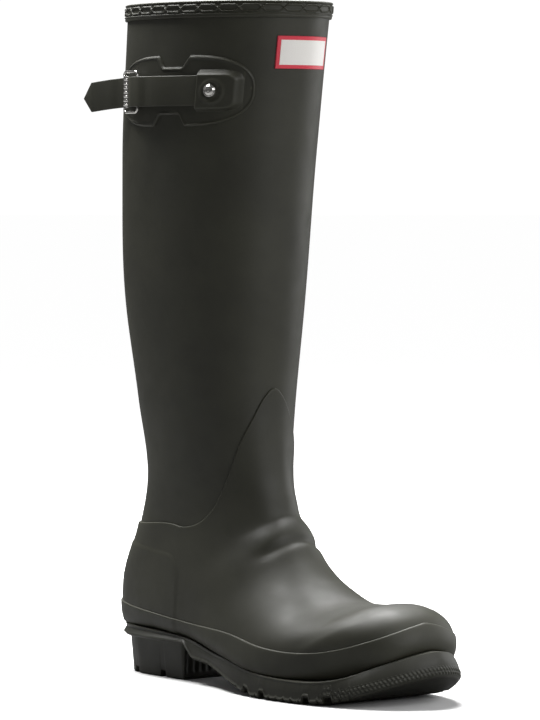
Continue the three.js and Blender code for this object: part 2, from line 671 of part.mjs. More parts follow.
function strapPatch() {
  const { middle, halfLength, lobe, notch } = PATCH;
  const steps = 7;
  const places = [];
  for (let a = steps; a >= 0; a -= 1) {
    places.push(halfLength - lobe * (1 - Math.sin(Math.PI / 2 * a / steps)));
  }
  places.push(notch[1], notch[0]);
  const columns = [...places.map((d) => middle - d), ...places.toReversed().map((d) => middle + d)];
  const levels = [-1, -0.45, 0.45, 1];
  const point = (i, j, side) => {
    const z = STRAP.height + levels[i] * patchReach(columns[j]);
    return leg(columns[j], z, PATCH.thick[side]);
  };
  return skin(levels.length, columns.length, point);
}

const buckleSpot = spot(BUCKLE.along, STRAP.height);
/** A level point at the buckle, by how far back along the leg and how far out. */
function nearBuckle(back, out) {
  const { at, along, out: away } = buckleSpot;
  return at.clone().addScaledVector(along, back).addScaledVector(away, out).setZ(0);
}

/** The strap's level path, from inside the pocket, over the buckle's front bar and under its rear bar. */
function strapPath() {
  const path = [];
  for (let d = STRAP.start; d <= STRAP.meets; d += 6) {
    const climb = THREE.MathUtils.smoothstep(d, STRAP_OFF.from, STRAP_OFF.to);
    path.push(leg(d, STRAP.height, STRAP_OFF.pocket + STRAP_OFF.climb * climb).setZ(0));
  }
  const through = [[-8, 7.6], [-3, 8], [1, 7.9], [4, 7], [8, 4.6], [11, 2.9], TAIL_ROOT];
  return [...path, ...through.map(([back, out]) => nearBuckle(back, out))];
}
const strapLow = STRAP.height - STRAP.width / 2;
const strapHigh = STRAP.height + STRAP.width / 2;

/** The straight line that a rivet follows out through the leg. */
function rivetLine(distance) {
  const { at, out } = spot(distance, STRAP.height);
  return (depth) => at.clone().addScaledVector(out, depth);
}

/** Room for a rivet through the leg and all that lies on it. */
function rivetHole(distance, radius) {
  const line = rivetLine(distance);
  return bar(line(RIVET.inner), line(RIVET.outer), radius + GAP);
}
const studHole = rivetHole(STUD.along, STUD.shank);
const loopHole = rivetHole(LOOP.rivet, LOOP.shank);

function strapPocket() {
  const { from, to, halfHeight, top } = POCKET;
  const low = PATCH.thick[1] + GAP;
  const point = (i, j, side) => {
    const first = j === 0;
    const edge = Math.min(1, 2.6 * (1 - Math.abs(POCKET_LEVELS[i])), first ? 0.12 : 1);
    const z = STRAP.height + POCKET_LEVELS[i] * halfHeight * (first ? 0.7 : 1);
    const high = THREE.MathUtils.lerp(low + POCKET_WALL, top, edge);
    return leg(THREE.MathUtils.lerp(from, to, POCKET_SHARES[j]), z, side === 0 ? low : high);
  };
  const cover = skin(POCKET_LEVELS.length, POCKET_SHARES.length, point);
  const room = ribbon(strapPath().slice(0, 6), STRAP.thick + 2 * GAP, strapLow - GAP, strapHigh + GAP);
  return cut(cover, room, studHole);
}

const strap = () => cut(ribbon(strapPath(), STRAP.thick, strapLow, strapHigh), studHole);

/** Turned pieces of a rivet: a profile of radius against depth along the rivet's line. */
function turned(distance, outline, sides = 20) {
  const line = rivetLine(distance);
  const geometry = new THREE.LatheGeometry(outline.map(([r, d]) => new THREE.Vector2(r, d)), sides);
  const turn = new THREE.Quaternion().setFromUnitVectors(Y_AXIS, line(1).sub(line(0)));
  return geometry.applyQuaternion(turn).translate(...line(0).toArray());
}
const STUD_FACE = POCKET.top + 0.5;
const studCap = () => turned(STUD.along, [
  [0, STUD_FACE], [STUD.cap, STUD_FACE], [STUD.cap, STUD_FACE + 0.7],
  [3.4, STUD_FACE + 1.6], [1.8, STUD_FACE + 2.2], [0, STUD_FACE + 2.4],
]);
const studPost = () => turned(STUD.along, [
  [0, RIVET.foot], [STUD.shank, RIVET.foot], [STUD.shank, STUD_FACE - GAP], [0, STUD_FACE - GAP],
]);
const studWasher = () => turned(STUD.along, [
  [0, -6.4], [3, -6.4], [STUD.washer, -5.9], [STUD.washer, RIVET.washer], [0, RIVET.washer],
]);

/** The tab that holds the buckle: it lies under the strap and turns back round the front bar. */
function buckleLoop() {
  const { from, rivet, thick, halfHeight, off, shank } = LOOP;
  const reach = BUCKLE.bar / 2 + GAP + thick / 2;
  const path = [from, rivet, 100, 106].map((d) => leg(d, STRAP.height, off).setZ(0));
  path.push(nearBuckle(-4, 2.3));
  const steps = 6;
  for (let k = 0; k <= steps; k += 1) {
    const angle = Math.PI * (k / steps - 0.5);
    path.push(nearBuckle(reach * Math.cos(angle), BUCKLE.lift + reach * Math.sin(angle)));
  }
  path.push(nearBuckle(-4, BUCKLE.lift + reach - 0.5), nearBuckle(-7.5, BUCKLE.lift + 0.1));
  const band = ribbon(path, thick, STRAP.height - halfHeight, STRAP.height + halfHeight);
  return cut(band, rivetHole(rivet, shank));
}
const loopRivet = () => turned(LOOP.rivet, [
  [0, RIVET.foot], [LOOP.shank, RIVET.foot], [LOOP.shank, 3.15],
  [3.2, 3.15], [3.2, 3.6], [2, 3.9], [0, 3.9],
], 16);
const loopWasher = () => turned(LOOP.rivet, [
  [0, -6.2], [2.6, -6.2], [3.8, -5.8], [3.8, RIVET.washer], [0, RIVET.washer],
], 16);

/** The buckle: a flat frame with round bars at both ends, in its own turned place. */
function buckleFrame() {
  const { height, length, bar: thick, rail: railRadius, lift, tilt } = BUCKLE;
  const { along, out } = buckleSpot;
  const direction = along.clone().multiplyScalar(Math.cos(tilt)).addScaledVector(out, Math.sin(tilt));
  const origin = nearBuckle(0, lift);
  const point = (a, up) => origin.clone().addScaledVector(direction, a).setZ(STRAP.height + up);
  const reach = (height - thick) / 2;
  const span = length - thick;
  const rail = (up) => bar(point(-thick / 2, up), point(span + thick / 2, up), railRadius, 8);
  const crossbar = (a) => bar(point(a, -reach), point(a, reach), thick / 2, 12);
  const parts = [rail(-reach), rail(reach), crossbar(0), crossbar(span)];
  return fromManifold(parts.map(toManifold).reduce((joined, part) => joined.add(part)));
}

/** The free end of the strap, beyond the buckle, ending in a point. */
function strapTail() {
  const { length, point, turn, bend, droop, gap } = TAIL;
  const [back, out] = TAIL_ROOT;
  const lift = (a) => out + turn * a * Math.min(1, a / bend);
  const steps = [gap, 4, 9, 15, 22, length - point, length];
  const path = steps.map((a) => nearBuckle(back + a, lift(a)));
  const band = ribbon(path, STRAP.thick, strapLow, strapHigh, point);
  const root = nearBuckle(back, 0).y;
  const fall = new THREE.Matrix4().makeShear(0, 0, 0, -droop, 0, 0);
  return band.translate(0, -root, 0).applyMatrix4(fall).translate(0, root, 0);
}

// ---- the label -----------------------------------------------------------------------------------
/** One layer of the label, laid round the leg. */
function labelLayer(width, tall, [inner, outer]) {
  const steps = 8;
  const point = (i, j, side) => {
    const distance = LABEL.middle + width * (j / steps - 0.5);
    return leg(distance, LABEL.height + tall * (i - 0.5), side === 0 ? inner : outer);
  };
  return skin(2, steps + 1, point);
}

// ---- the boot ------------------------------------------------------------------------------------
const all = new THREE.Group();
function add(parent, name, geometry, material) {
  const mesh = new THREE.Mesh(geometry, material);
  mesh.name = name;
  parent.add(mesh);
}

const sole = new THREE.Group();
add(sole, 'outsole', outsole(), SOLE_RUBBER);
add(sole, 'heel_block', heelBlock(), SOLE_RUBBER);
add(sole, 'heel_core', heelCore(), FOAM);
add(sole, 'shank', shankStrip(0.8, 0, SHANK), STEEL);

const inside = new THREE.Group();
add(inside, 'foot_lining', footLining(), CLOTH);
add(inside, 'leg_lining', cut(legLining(), studHole, loopHole), CLOTH);
add(inside, 'insole_board', footPatch([2, SOLE_ROWS + 2], [13, 19], STIFFENER), BOARD);
add(inside, 'footbed', footPatch([2, SOLE_ROWS + 2], [13, 19], FOOTBED), FOAM);
add(inside, 'heel_counter', footPatch([SOLE_ROWS + 3, LAP_ROW], [11, 21], STIFFENER), BOARD);
add(inside, 'toe_puff', footPatch([1, 4], [-9, 9], STIFFENER), BOARD);
add(inside, 'ankle_stiffener_outer', footPatch([LAP_ROW, ANKLE_ROW], [5, 9], STIFFENER), RUBBER);
add(inside, 'ankle_stiffener_inner', footPatch([LAP_ROW, ANKLE_ROW], [23, 27], STIFFENER), RUBBER);

const upper = new THREE.Group();
add(upper, 'leg_panel', cut(legPanel(), studHole, loopHole), RUBBER);
add(upper, 'vamp_panel', vampPanel(), RUBBER);
add(upper, 'foxing_band', foxingBand(), RUBBER);
add(upper, 'back_strip', backStrip(), RUBBER);
add(upper, 'rim_band', rimBand(), RUBBER);
const border = 2 * LABEL.border;
const { width: labelWidth, tall: labelTall } = LABEL;
add(upper, 'label_base', labelLayer(labelWidth, labelTall, LABEL_LAYERS.base), LABEL_RED);
add(upper, 'label_face', labelLayer(labelWidth - border, labelTall - border, LABEL_LAYERS.face), LABEL_WHITE);

const fastening = new THREE.Group();
add(fastening, 'strap_patch', cut(strapPatch(), studHole, loopHole), RUBBER);
add(fastening, 'strap_pocket', strapPocket(), RUBBER);
add(fastening, 'strap', strap(), RUBBER);
add(fastening, 'stud_cap', studCap(), NICKEL);
add(fastening, 'stud_post', studPost(), NICKEL);
add(fastening, 'stud_washer', studWasher(), NICKEL);
add(fastening, 'buckle_loop', buckleLoop(), RUBBER);
add(fastening, 'loop_rivet', loopRivet(), NICKEL);
add(fastening, 'loop_washer', loopWasher(), NICKEL);
add(fastening, 'buckle_frame', buckleFrame(), NICKEL);
add(fastening, 'strap_tail', strapTail(), RUBBER);

all.add(sole, inside, upper, fastening);
export default all;
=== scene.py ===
import math

import bpy
import numpy as np
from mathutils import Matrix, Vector
from mathutils.bvhtree import BVHTree


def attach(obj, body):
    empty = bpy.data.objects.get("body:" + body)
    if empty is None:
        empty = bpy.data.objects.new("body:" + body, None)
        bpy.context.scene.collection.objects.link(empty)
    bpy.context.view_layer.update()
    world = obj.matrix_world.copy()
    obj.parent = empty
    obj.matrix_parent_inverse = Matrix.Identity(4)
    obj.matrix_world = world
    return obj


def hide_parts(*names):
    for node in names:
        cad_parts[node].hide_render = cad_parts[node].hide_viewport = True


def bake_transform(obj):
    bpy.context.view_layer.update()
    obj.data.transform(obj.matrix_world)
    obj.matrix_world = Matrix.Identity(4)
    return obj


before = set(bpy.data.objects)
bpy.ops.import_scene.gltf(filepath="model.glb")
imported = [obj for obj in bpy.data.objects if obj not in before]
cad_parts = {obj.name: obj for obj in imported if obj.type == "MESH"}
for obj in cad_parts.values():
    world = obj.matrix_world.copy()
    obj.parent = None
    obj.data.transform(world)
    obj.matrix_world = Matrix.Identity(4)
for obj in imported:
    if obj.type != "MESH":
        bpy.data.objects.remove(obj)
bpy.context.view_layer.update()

MM = 0.001

# ---- driving dimensions, the same as the CAD's ---------------------------------------------------
HEEL_CENTRE = 28.0
RIM = 414.0
RIM_LOW, RIM_HIGH = 406.0, 416.0
VAMP_FACE = 1.2
VAMP_LAP = 0.5
RUBBER = 2.2
LEG_CLOTH = (-4.0, -2.8)
FOOT_CLOTH = (-5.4, -4.2)
HEEL_TURN = 0.36

# One row per section of the last from the toe to the rim: front forward and height, back forward and
# height, half widths outer and inner, sideways place of front and back, place of the widest line,
# squareness of the back half and of the front half.
LAST = np.array([
    (246, 26.2, 233, 16.6, 17, 17, 8, 8, 0.5, 3, 2.2),
    (250, 38.1, 220, 12.9, 29, 28, 8, 7, 0.42, 4, 2.2),
    (243, 50.3, 205, 10.9, 38, 37, 7, 6, 0.38, 5, 2.3),
    (228, 56.7, 190, 10.3, 44, 42, 6, 4, 0.36, 5, 2.3),
    (207, 55.3, 170, 10.3, 47, 44, 5, 1, 0.34, 5, 2.2),
    (184, 55.9, 143, 13.6, 47, 43, 3, -1, 0.32, 5, 2.1),
    (163, 65.5, 110, 19.5, 43, 39, 1, -1, 0.32, 4.5, 2.1),
    (149, 76.9, 74, 26, 38.5, 36.5, 0, 0, 0.35, 4.5, 2.1),
    (137, 90.2, 34, 27.8, 37, 36, 0, 0, 0.4, 4, 2.2),
    (125, 103.6, -13, 30, 35.5, 34.5, 0, 0, 0.45, 3, 2.3),
    (119, 117.7, -19, 52, 34, 33, 0, 0, 0.46, 2.6, 2.3),
    (115, 134.8, -6, 85, 34.5, 33.5, 0, 0, 0.48, 2.3, 2.2),
    (113, 154.9, 5, 117, 37, 36, 0, 0, 0.5, 2.2, 2.2),
    (113, 182.9, 0, 170, 42, 41, 0, 0, 0.5, 2.2, 2.2),
    (119, 234.7, -11, 229, 46.5, 45.5, 0, 0, 0.5, 2.2, 2.2),
    (128, 324.5, -12, 321, 50.5, 49.5, 0, 0, 0.5, 2.2, 2.2),
    (141, RIM, -5, RIM, 52, 51, 0, 0, 0.5, 2.2, 2.2),
])
VAMP_EDGE = [(-0.05, 0.554), (0, 0.569), (0.05, 0.554), (0.1, 0.521), (0.145, 0.492), (0.205, 0.44),
             (0.24, 0.416), (0.29, 0.405), (0.39, 0.408), (0.47, 0.422), (0.7, 0.447), (1, 0.47)]
VAMP_OVERLAP = 0.022
WELT = [(-25, 31), (30, 30), (60, 28.5), (80, 26.5), (100, 22.5), (125, 19.6), (157, 14.7), (187, 13.4),
        (209, 14.2), (222, 16.4), (244, 24.5), (262, 33)]
FOXING_TOP = [(-25, 46), (30, 41.5), (80, 37.5), (125, 35.6), (165, 30.5), (190, 29.8), (210, 31.5),
              (240, 39.5), (262, 49)]
TREAD = [(-25, 23.2), (70, 23.2), (80, 15), (100, 13), (125, 7), (142, 2), (152, 0), (195, 0), (215, 1.5),
         (228, 4.5), (245, 11), (262, 19.5)]
SOLE_PLAN = [(0, -18), (-21, -12), (-34, 6), (-37.5, 30), (-38, 62), (-41, 98), (-47.5, 130), (-50.5, 160),
             (-49, 190), (-43, 217), (-30, 241), (-10, 257), (8, 262), (26, 256), (41, 234), (47, 205),
             (48, 172), (45, 138), (40, 100), (36.5, 62), (36, 30), (33, 6), (21, -12)]
GROOVES = (143, 170, 196, 221)
GROOVE_WIDTH, GROOVE_DEPTH, GROOVE_SLANT = 5.0, 3.5, 0.12
HEEL = {"half_width": 32, "back": -13, "breast": 63, "height": 22.4, "grooves": (12, 40)}
STRAP = {"height": 362.0, "width": 18.3, "thick": 1.8, "start": 46.0}
PATCH = {"middle": 84, "half_length": 58, "half_height": 21.5, "end": 42, "square": 2.4,
         "notch": (7.3, 14.2), "notch_depth": 7}
POCKET = {"from": 33, "to": 62, "half_height": 12.8, "top": 5.9}
STUD = {"along": 52, "cap": 4.1}
BUCKLE = {"along": 113, "height": 27, "length": 17, "bar": 2.2, "lift": 4, "tilt": 0.04}
TAIL = {"length": 41, "point": 7.5, "turn": 0.18, "droop": 3.3}
LABEL = {"middle": -6, "height": 385, "width": 43, "tall": 19.6, "border": 2.2}
LOOP = {"from": 88, "rivet": 94, "thick": 0.9}
SPINE = (HEEL_CENTRE - 225, HEEL_CENTRE - 20)  # the sole's middle line, from toe to heel
SOLE_EDGE = {"inset": 3.2, "rounding": 1.6, "wall": 0.8, "swell": 2.4}
HEEL_TOP = 23.1
STRIP_HALF_WIDTH = 6.5
CHAIN_LINKS = 30
# The instep's roll lies between two arcs across it.
ROLL_TOP = {"height": 104, "drop": 12, "middle": 4, "half_width": 28.5}
ROLL_LOW = {"height": 90.5, "drop": 10.3, "middle": 1, "half_width": 25.4}
ROLL_PROUD = 1.5
COUNTER = {"front": 63, "top": 82, "corner": 11.0, "proud": 0.5}
TOE_LINE = {"forward": 230.5, "curl": 14.5, "middle": 4, "half_width": 37, "step": 0.2}
STRAP_OFF = {"pocket": 3.5, "climb": 3.5, "from": 68, "to": 110}  # it climbs to the buckle's front bar
TAIL_ROOT = (15, 1.9)  # where the free end leaves the buckle: back along the leg from it, and out
FOOTBED = (0.045, 0.345)  # places of its ends along the last


# ---- curves and the surface of the last ----------------------------------------------------------
def hermite(knots, rows):
    """A smooth curve through rows of numbers at rising knots, for any array of places."""
    knots, rows = np.asarray(knots, float), np.asarray(rows, float)
    gaps = np.diff(knots)
    secants = np.diff(rows, axis=0) / gaps[:, None]
    slopes = np.empty_like(rows)
    slopes[0], slopes[-1] = secants[0], secants[-1]
    ahead, behind = gaps[1:, None], gaps[:-1, None]
    slopes[1:-1] = (ahead * secants[:-1] + behind * secants[1:]) / (ahead + behind)

    def at(place):
        place = np.asarray(place, float)
        i = np.clip(np.searchsorted(knots, place, side="right") - 1, 0, len(gaps) - 1)
        s = np.clip((place - knots[i]) / gaps[i], 0, 1)[..., None]
        step = gaps[i][..., None]
        return ((2 * s**3 - 3 * s**2 + 1) * rows[i] + (s**3 - 2 * s**2 + s) * step * slopes[i]
                + (3 * s**2 - 2 * s**3) * rows[i + 1] + (s**3 - s**2) * step * slopes[i + 1])

    return at


def profile(pairs):
    curve = hermite([p[0] for p in pairs], [[p[1]] for p in pairs])
    return lambda at: curve(at)[..., 0]


def smoothstep(value, low, high):
    s = np.clip((np.asarray(value, float) - low) / (high - low), 0, 1)
    return s * s * (3 - 2 * s)


def lerp(a, b, share):
    return a + (b - a) * share


def bell(value, width):
    return np.exp(-(np.asarray(value, float) / width) ** 2)


vamp_edge_at = profile(VAMP_EDGE)
welt = profile(WELT)
foxing_top = profile(FOXING_TOP)
tread = lambda forward: np.interp(forward, *np.transpose(TREAD))


def last_knots():
    """Knots of the last, spaced by how far the front and the back travel together."""
    steps = np.diff(LAST[:, :4], axis=0)
    lengths = np.hypot(steps[:, 0], steps[:, 1]) + np.hypot(steps[:, 2], steps[:, 3])
    knots = np.concatenate([[0], np.cumsum(lengths)])
    return knots / knots[-1]


last_at = hermite(last_knots(), LAST)


def outward(place, column, sign):
    """Direction out of the last at the front (column 0) or the back (column 2), as (forward, height)."""
    step = last_at(np.minimum(place + 0.002, 1)) - last_at(np.maximum(place - 0.002, 0))
    forward, height = step[..., column], step[..., column + 1]
    length = np.hypot(forward, height)
    return sign * height / length, -sign * forward / length


def ring(place, angle, outer, off):
    """Point of a section at an angle from the front, on its outer or inner side, off the last's face."""
    row = last_at(place)
    c, s = np.cos(angle), np.abs(np.sin(angle))
    power = 2 / np.where(c >= 0, row[..., 10], row[..., 9])
    reach = np.abs(c) ** power
    along = np.where(c >= 0, row[..., 8] + (1 - row[..., 8]) * reach, row[..., 8] * (1 - reach))
    half = np.where(outer, row[..., 4], row[..., 5]) + off
    x = np.where(outer, -1, 1) * half * s**power + lerp(row[..., 7], row[..., 6], along)
    front_out, back_out = outward(place, 0, 1), outward(place, 2, -1)
    forward = lerp(row[..., 2] + off * back_out[0], row[..., 0] + off * front_out[0], along)
    height = lerp(row[..., 3] + off * back_out[1], row[..., 1] + off * front_out[1], along)
    return np.stack(np.broadcast_arrays(x, HEEL_CENTRE - forward, height), -1)


PLACES = np.linspace(0, 1, 501)
SHARES = np.linspace(0, 1, 161)


def even_angles(outer):
    """For each place, the angle at each share of the half ring's length, and that length."""
    angles = np.linspace(0, math.pi, 241)
    points = ring(PLACES[:, None], angles[None, :], outer, 0.0)
    lengths = np.cumsum(np.linalg.norm(np.diff(points, axis=1), axis=2), axis=1)
    lengths = np.concatenate([np.zeros((len(PLACES), 1)), lengths], axis=1)
    table = np.array([np.interp(SHARES * row[-1], row, angles) for row in lengths])
    return table, lengths[:, -1]


OUTER_ANGLES, OUTER_GIRTH = even_angles(True)
INNER_ANGLES, INNER_GIRTH = even_angles(False)


def lookup(table, place, share):
    i, j = place * (len(PLACES) - 1), share * (len(SHARES) - 1)
    i0, j0 = np.minimum(i.astype(int), len(PLACES) - 2), np.minimum(j.astype(int), len(SHARES) - 2)
    a, b = i - i0, j - j0
    low = lerp(table[i0, j0], table[i0, j0 + 1], b)
    return lerp(low, lerp(table[i0 + 1, j0], table[i0 + 1, j0 + 1], b), a)


def surface(place, turn, off=0.0):
    """Point at a place along the last and a turn round it (0 front, 0.25 outer side, 0.5 back)."""
    place, turn, off = np.broadcast_arrays(np.clip(place, 0, 1), np.asarray(turn, float) % 1.0, off)
    outer = turn < 0.5
    share = np.where(outer, 2 * turn, 2 - 2 * turn)
    angle = np.where(outer, lookup(OUTER_ANGLES, place, share), lookup(INNER_ANGLES, place, share))
    return ring(place, angle, outer, off)


def place_at(height, turn):
    """Place along the last where the leg or the heel has that height at that turn."""
    height, turn = np.broadcast_arrays(np.asarray(height, float), np.asarray(turn, float))
    low, high = np.full(height.shape, HEEL_TURN), np.ones(height.shape)
    for _ in range(20):
        middle = (low + high) / 2
        below = surface(middle, turn)[..., 2] < height
        low, high = np.where(below, middle, low), np.where(below, high, middle)
    return (low + high) / 2


def leg(distance, height, off=0.0):
    """Point on the leg at a distance round it from the front, towards the outer side, and a height."""
    distance, height = np.broadcast_arrays(np.asarray(distance, float), np.asarray(height, float))
    side_place = place_at(height, 0.25)
    inner, outer = (np.interp(side_place, PLACES, girth) for girth in (INNER_GIRTH, OUTER_GIRTH))
    girth = np.where(distance < 0, inner, outer)
    turn = distance / (2 * girth)
    return surface(place_at(height, turn), turn, off)


def spot(distance, height):
    """A spot on the leg with its level directions: back along the surface, and out."""
    along = leg(distance + 2.0, height) - leg(distance - 2.0, height)
    along[2] = 0
    along /= np.linalg.norm(along)
    out = np.array([-along[1], along[0], 0.0])
    return leg(distance, height), along, out


# ---- meshes --------------------------------------------------------------------------------------
def grid_quads(rows, columns, wrap_rows=False, wrap_columns=False, start=0):
    i = np.arange(rows if wrap_rows else rows - 1)[:, None]
    j = np.arange(columns if wrap_columns else columns - 1)[None, :]
    at = lambda i, j: start + (i % rows) * columns + j % columns
    corners = (at(i, j), at(i, j + 1), at(i + 1, j + 1), at(i + 1, j))
    return np.stack(np.broadcast_arrays(*corners), -1).reshape(-1, 4)


def ladder(count, start, flip):
    """Triangles that close a ring of points straight across."""
    faces = []
    for j in range(count // 2):
        a, b, c, d = j, j + 1, (count - j - 1) % count, (count - j) % count
        if b != c:
            faces.append((a, b, c))
        if a != d:
            faces.append((a, c, d))
    faces = np.array(faces) + start
    return faces[:, ::-1] if flip else faces


def solid(name, points, quads, tris, finish, body="boot", nodes=(), sharp=42):
    """A closed mesh from points in millimetres, turned so that its faces point out, as a finished piece."""
    points = np.asarray(points, float).reshape(-1, 3)
    tris = np.asarray(tris, int).reshape(-1, 3)
    split = np.concatenate([quads[:, [0, 1, 2]], quads[:, [0, 2, 3]], tris])
    a, b, c = (points[split[:, k]] for k in range(3))
    if np.einsum("ij,ij->", a, np.cross(b, c)) < 0:
        quads, tris = quads[:, ::-1], tris[:, ::-1]
    mesh = bpy.data.meshes.new(name)
    mesh.from_pydata((points * MM).tolist(), [], quads.tolist() + tris.tolist())
    mesh.polygons.foreach_set("use_smooth", np.ones(len(mesh.polygons), bool))
    mesh.set_sharp_from_angle(angle=math.radians(sharp))
    mesh.update()
    piece = bpy.data.objects.new(name, mesh)
    bpy.context.scene.collection.objects.link(piece)
    mesh.materials.append(finish["material"])
    if nodes:
        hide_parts(*nodes)
    if body:
        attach(piece, body)
    return piece


def shell(name, loops, finish, closed=False, **rest):
    """A solid through closed loops: the last joins the first, or both ends are closed across."""
    rows, columns = len(loops), len(loops[0])
    quads = grid_quads(rows, columns, wrap_rows=closed, wrap_columns=True)
    ends = ((0, True), ((rows - 1) * columns, False))
    tris = [] if closed else np.concatenate([ladder(columns, start, flip) for start, flip in ends])
    return solid(name, loops, quads, tris, finish, **rest)


def slab(name, top, bottom, finish, **rest):
    """A solid between two open grids of points, closed round their edges."""
    rows, columns = top.shape[:2]
    count = rows * columns
    index = np.arange(count).reshape(rows, columns)
    edge = np.concatenate([index[0, :-1], index[:-1, -1], index[-1, :0:-1], index[:0:-1, 0]])
    after = np.roll(edge, -1)
    sides = np.stack([after, edge, edge + count, after + count], -1)
    under = grid_quads(rows, columns, start=count)[:, ::-1]
    quads = np.concatenate([grid_quads(rows, columns), under, sides])
    return solid(name, np.stack([top, bottom]), quads, [], finish, **rest)


def rounded_section(half_thick, half_width, radius, steps=5):
    """A rounded rectangle as (thickness, width) pairs, from the middle of one long side round."""
    pairs = []
    for quarter, (sx, sy) in enumerate([(1, 1), (-1, 1), (-1, -1), (1, -1)]):
        for k in range(steps + 1):
            angle = math.pi / 2 * (quarter + k / steps)
            pairs.append((sx * (half_thick - radius) + radius * math.cos(angle),
                          sy * (half_width - radius) + radius * math.sin(angle)))
    return np.array(pairs)


def through(points, count):
    """An even run of points along a smooth curve through the given ones."""
    points = np.asarray(points, float)
    knots = np.concatenate([[0], np.cumsum(np.linalg.norm(np.diff(points, axis=0), axis=1))])
    fine = hermite(knots, points)(np.linspace(0, knots[-1], 20 * count))
    lengths = np.concatenate([[0], np.cumsum(np.linalg.norm(np.diff(fine, axis=0), axis=1))])
    wanted = np.linspace(0, lengths[-1], count)
    return np.stack([np.interp(wanted, lengths, fine[:, k]) for k in range(3)], -1)


def level_normals(path):
    along = np.gradient(path, axis=0)
    along[:, 2] = 0
    along /= np.linalg.norm(along, axis=1)[:, None]
    return np.stack([-along[:, 1], along[:, 0], np.zeros(len(path))], -1)


# ---- camera, light and floor ---------------------------------------------------------------------
TARGET = Vector((0, -81, 198.5)) * MM
CAMERA_BACK = Vector((-0.6151, -0.7872, 0.045)).normalized()
CAMERA_DISTANCE = 2.5
LENS, SENSOR = 205, 36
WORLD_ON_OBJECT, WORLD_SEEN = 0.1, 1.05
FLOOR_RADIUS = 30
LIGHTS = [  # name, place, size, watts
    ("key", (0.35, -1.9, 1.0), (1.5, 1.2), 20),
    ("side", (1.8, -0.3, 0.5), (1.2, 1.3), 13),
    ("back", (-1.2, 1.5, 1.1), (0.7, 1.4), 1),
    ("top", (0.1, 0.42, 1.4), (1.3, 0.9), 80),
]


def studio():
    scene = bpy.context.scene
    camera = bpy.data.objects.new("camera", bpy.data.cameras.new("camera"))
    camera.data.lens, camera.data.sensor_width = LENS, SENSOR
    camera.data.clip_start, camera.data.clip_end = 0.05, 100
    camera.location = TARGET + CAMERA_BACK * CAMERA_DISTANCE
    camera.rotation_mode = "QUATERNION"
    camera.rotation_quaternion = (-CAMERA_BACK).to_track_quat("-Z", "Y")
    scene.collection.objects.link(camera)
    scene.camera = camera
    scene.view_settings.view_transform = "Standard"

    world = bpy.data.worlds.new("studio")
    world.use_nodes = True
    background = world.node_tree.nodes["Background"]
    background.inputs["Color"].default_value = (1, 1, 1, 1)
    path = world.node_tree.nodes.new("ShaderNodeLightPath")
    strength = world.node_tree.nodes.new("ShaderNodeMapRange")
    strength.inputs["To Min"].default_value = WORLD_ON_OBJECT
    strength.inputs["To Max"].default_value = WORLD_SEEN
    world.node_tree.links.new(path.outputs["Is Camera Ray"], strength.inputs["Value"])
    world.node_tree.links.new(strength.outputs["Result"], background.inputs["Strength"])
    scene.world = world

    for name, place, size, power in LIGHTS:
        light = bpy.data.lights.new(name, "AREA")
        light.shape, light.size, light.size_y, light.energy = "RECTANGLE", *size, power
        lamp = bpy.data.objects.new(name, light)
        lamp.location = place
        lamp.rotation_mode = "QUATERNION"
        lamp.rotation_quaternion = (TARGET - Vector(place)).to_track_quat("-Z", "Y")
        scene.collection.objects.link(lamp)

    angles = np.linspace(0, 2 * math.pi, 65)[:-1]
    rim = [(FLOOR_RADIUS * math.cos(a), FLOOR_RADIUS * math.sin(a), 0.0) for a in angles]
    mesh = bpy.data.meshes.new("floor")
    mesh.from_pydata(rim, [], [list(range(len(rim)))])
    floor = bpy.data.objects.new("floor", mesh)
    mesh.materials.append(FLOOR["material"])
    scene.collection.objects.link(floor)


# ---- finishes ------------------------------------------------------------------------------------
class Paint:
    """A procedural material being built on the Principled shader, in the object's own coordinates."""

    def __init__(self, slot, **constants):
        self.material = bpy.data.materials.new(slot)
        self.material.use_nodes = True
        self.tree = self.material.node_tree
        self.shader = self.tree.nodes["Principled BSDF"]
        for name, value in constants.items():
            self.shader.inputs[name.replace("_", " ")].default_value = value
        self.place = self.add("ShaderNodeTexCoord").outputs["Object"]

    def add(self, kind, inputs=None, **attributes):
        node = self.tree.nodes.new(kind)
        for name, value in attributes.items():
            setattr(node, name, value)
        for name, value in (inputs or {}).items():
            if isinstance(value, bpy.types.NodeSocket):
                self.tree.links.new(value, node.inputs[name])
            else:
                node.inputs[name].default_value = value
        return node

    def noise(self, size_mm, detail=2.0, rough=0.5):
        """Noise with features about that many millimetres across."""
        inputs = {"Vector": self.place, "Scale": 1 / (size_mm * MM), "Detail": detail, "Roughness": rough}
        return self.add("ShaderNodeTexNoise", inputs).outputs["Fac"]

    def spread(self, value, low, high, to_low=0.0, to_high=1.0):
        inputs = {"Value": value, "From Min": low, "From Max": high, "To Min": to_low, "To Max": to_high}
        return self.add("ShaderNodeMapRange", inputs).outputs["Result"]

    def maths(self, operation, a, b=0.0):
        return self.add("ShaderNodeMath", {0: a, 1: b}, operation=operation).outputs[0]

    def mix(self, share, a, b):
        as_colour = lambda c: (*c, 1.0) if isinstance(c, tuple) else c
        node = self.add("ShaderNodeMix", {0: share, 6: as_colour(a), 7: as_colour(b)}, data_type="RGBA")
        return node.outputs[2]

    def bump(self, height, depth_mm, strength=1.0, normal=None):
        inputs = {"Height": height, "Strength": strength, "Distance": depth_mm * MM}
        if normal is not None:
            inputs["Normal"] = normal
        return self.add("ShaderNodeBump", inputs).outputs["Normal"]

    def finish(self, slot, **links):
        for name, socket in links.items():
            self.tree.links.new(socket, self.shader.inputs[name.replace("_", " ")])
        return {"slot": slot, "material": self.material}


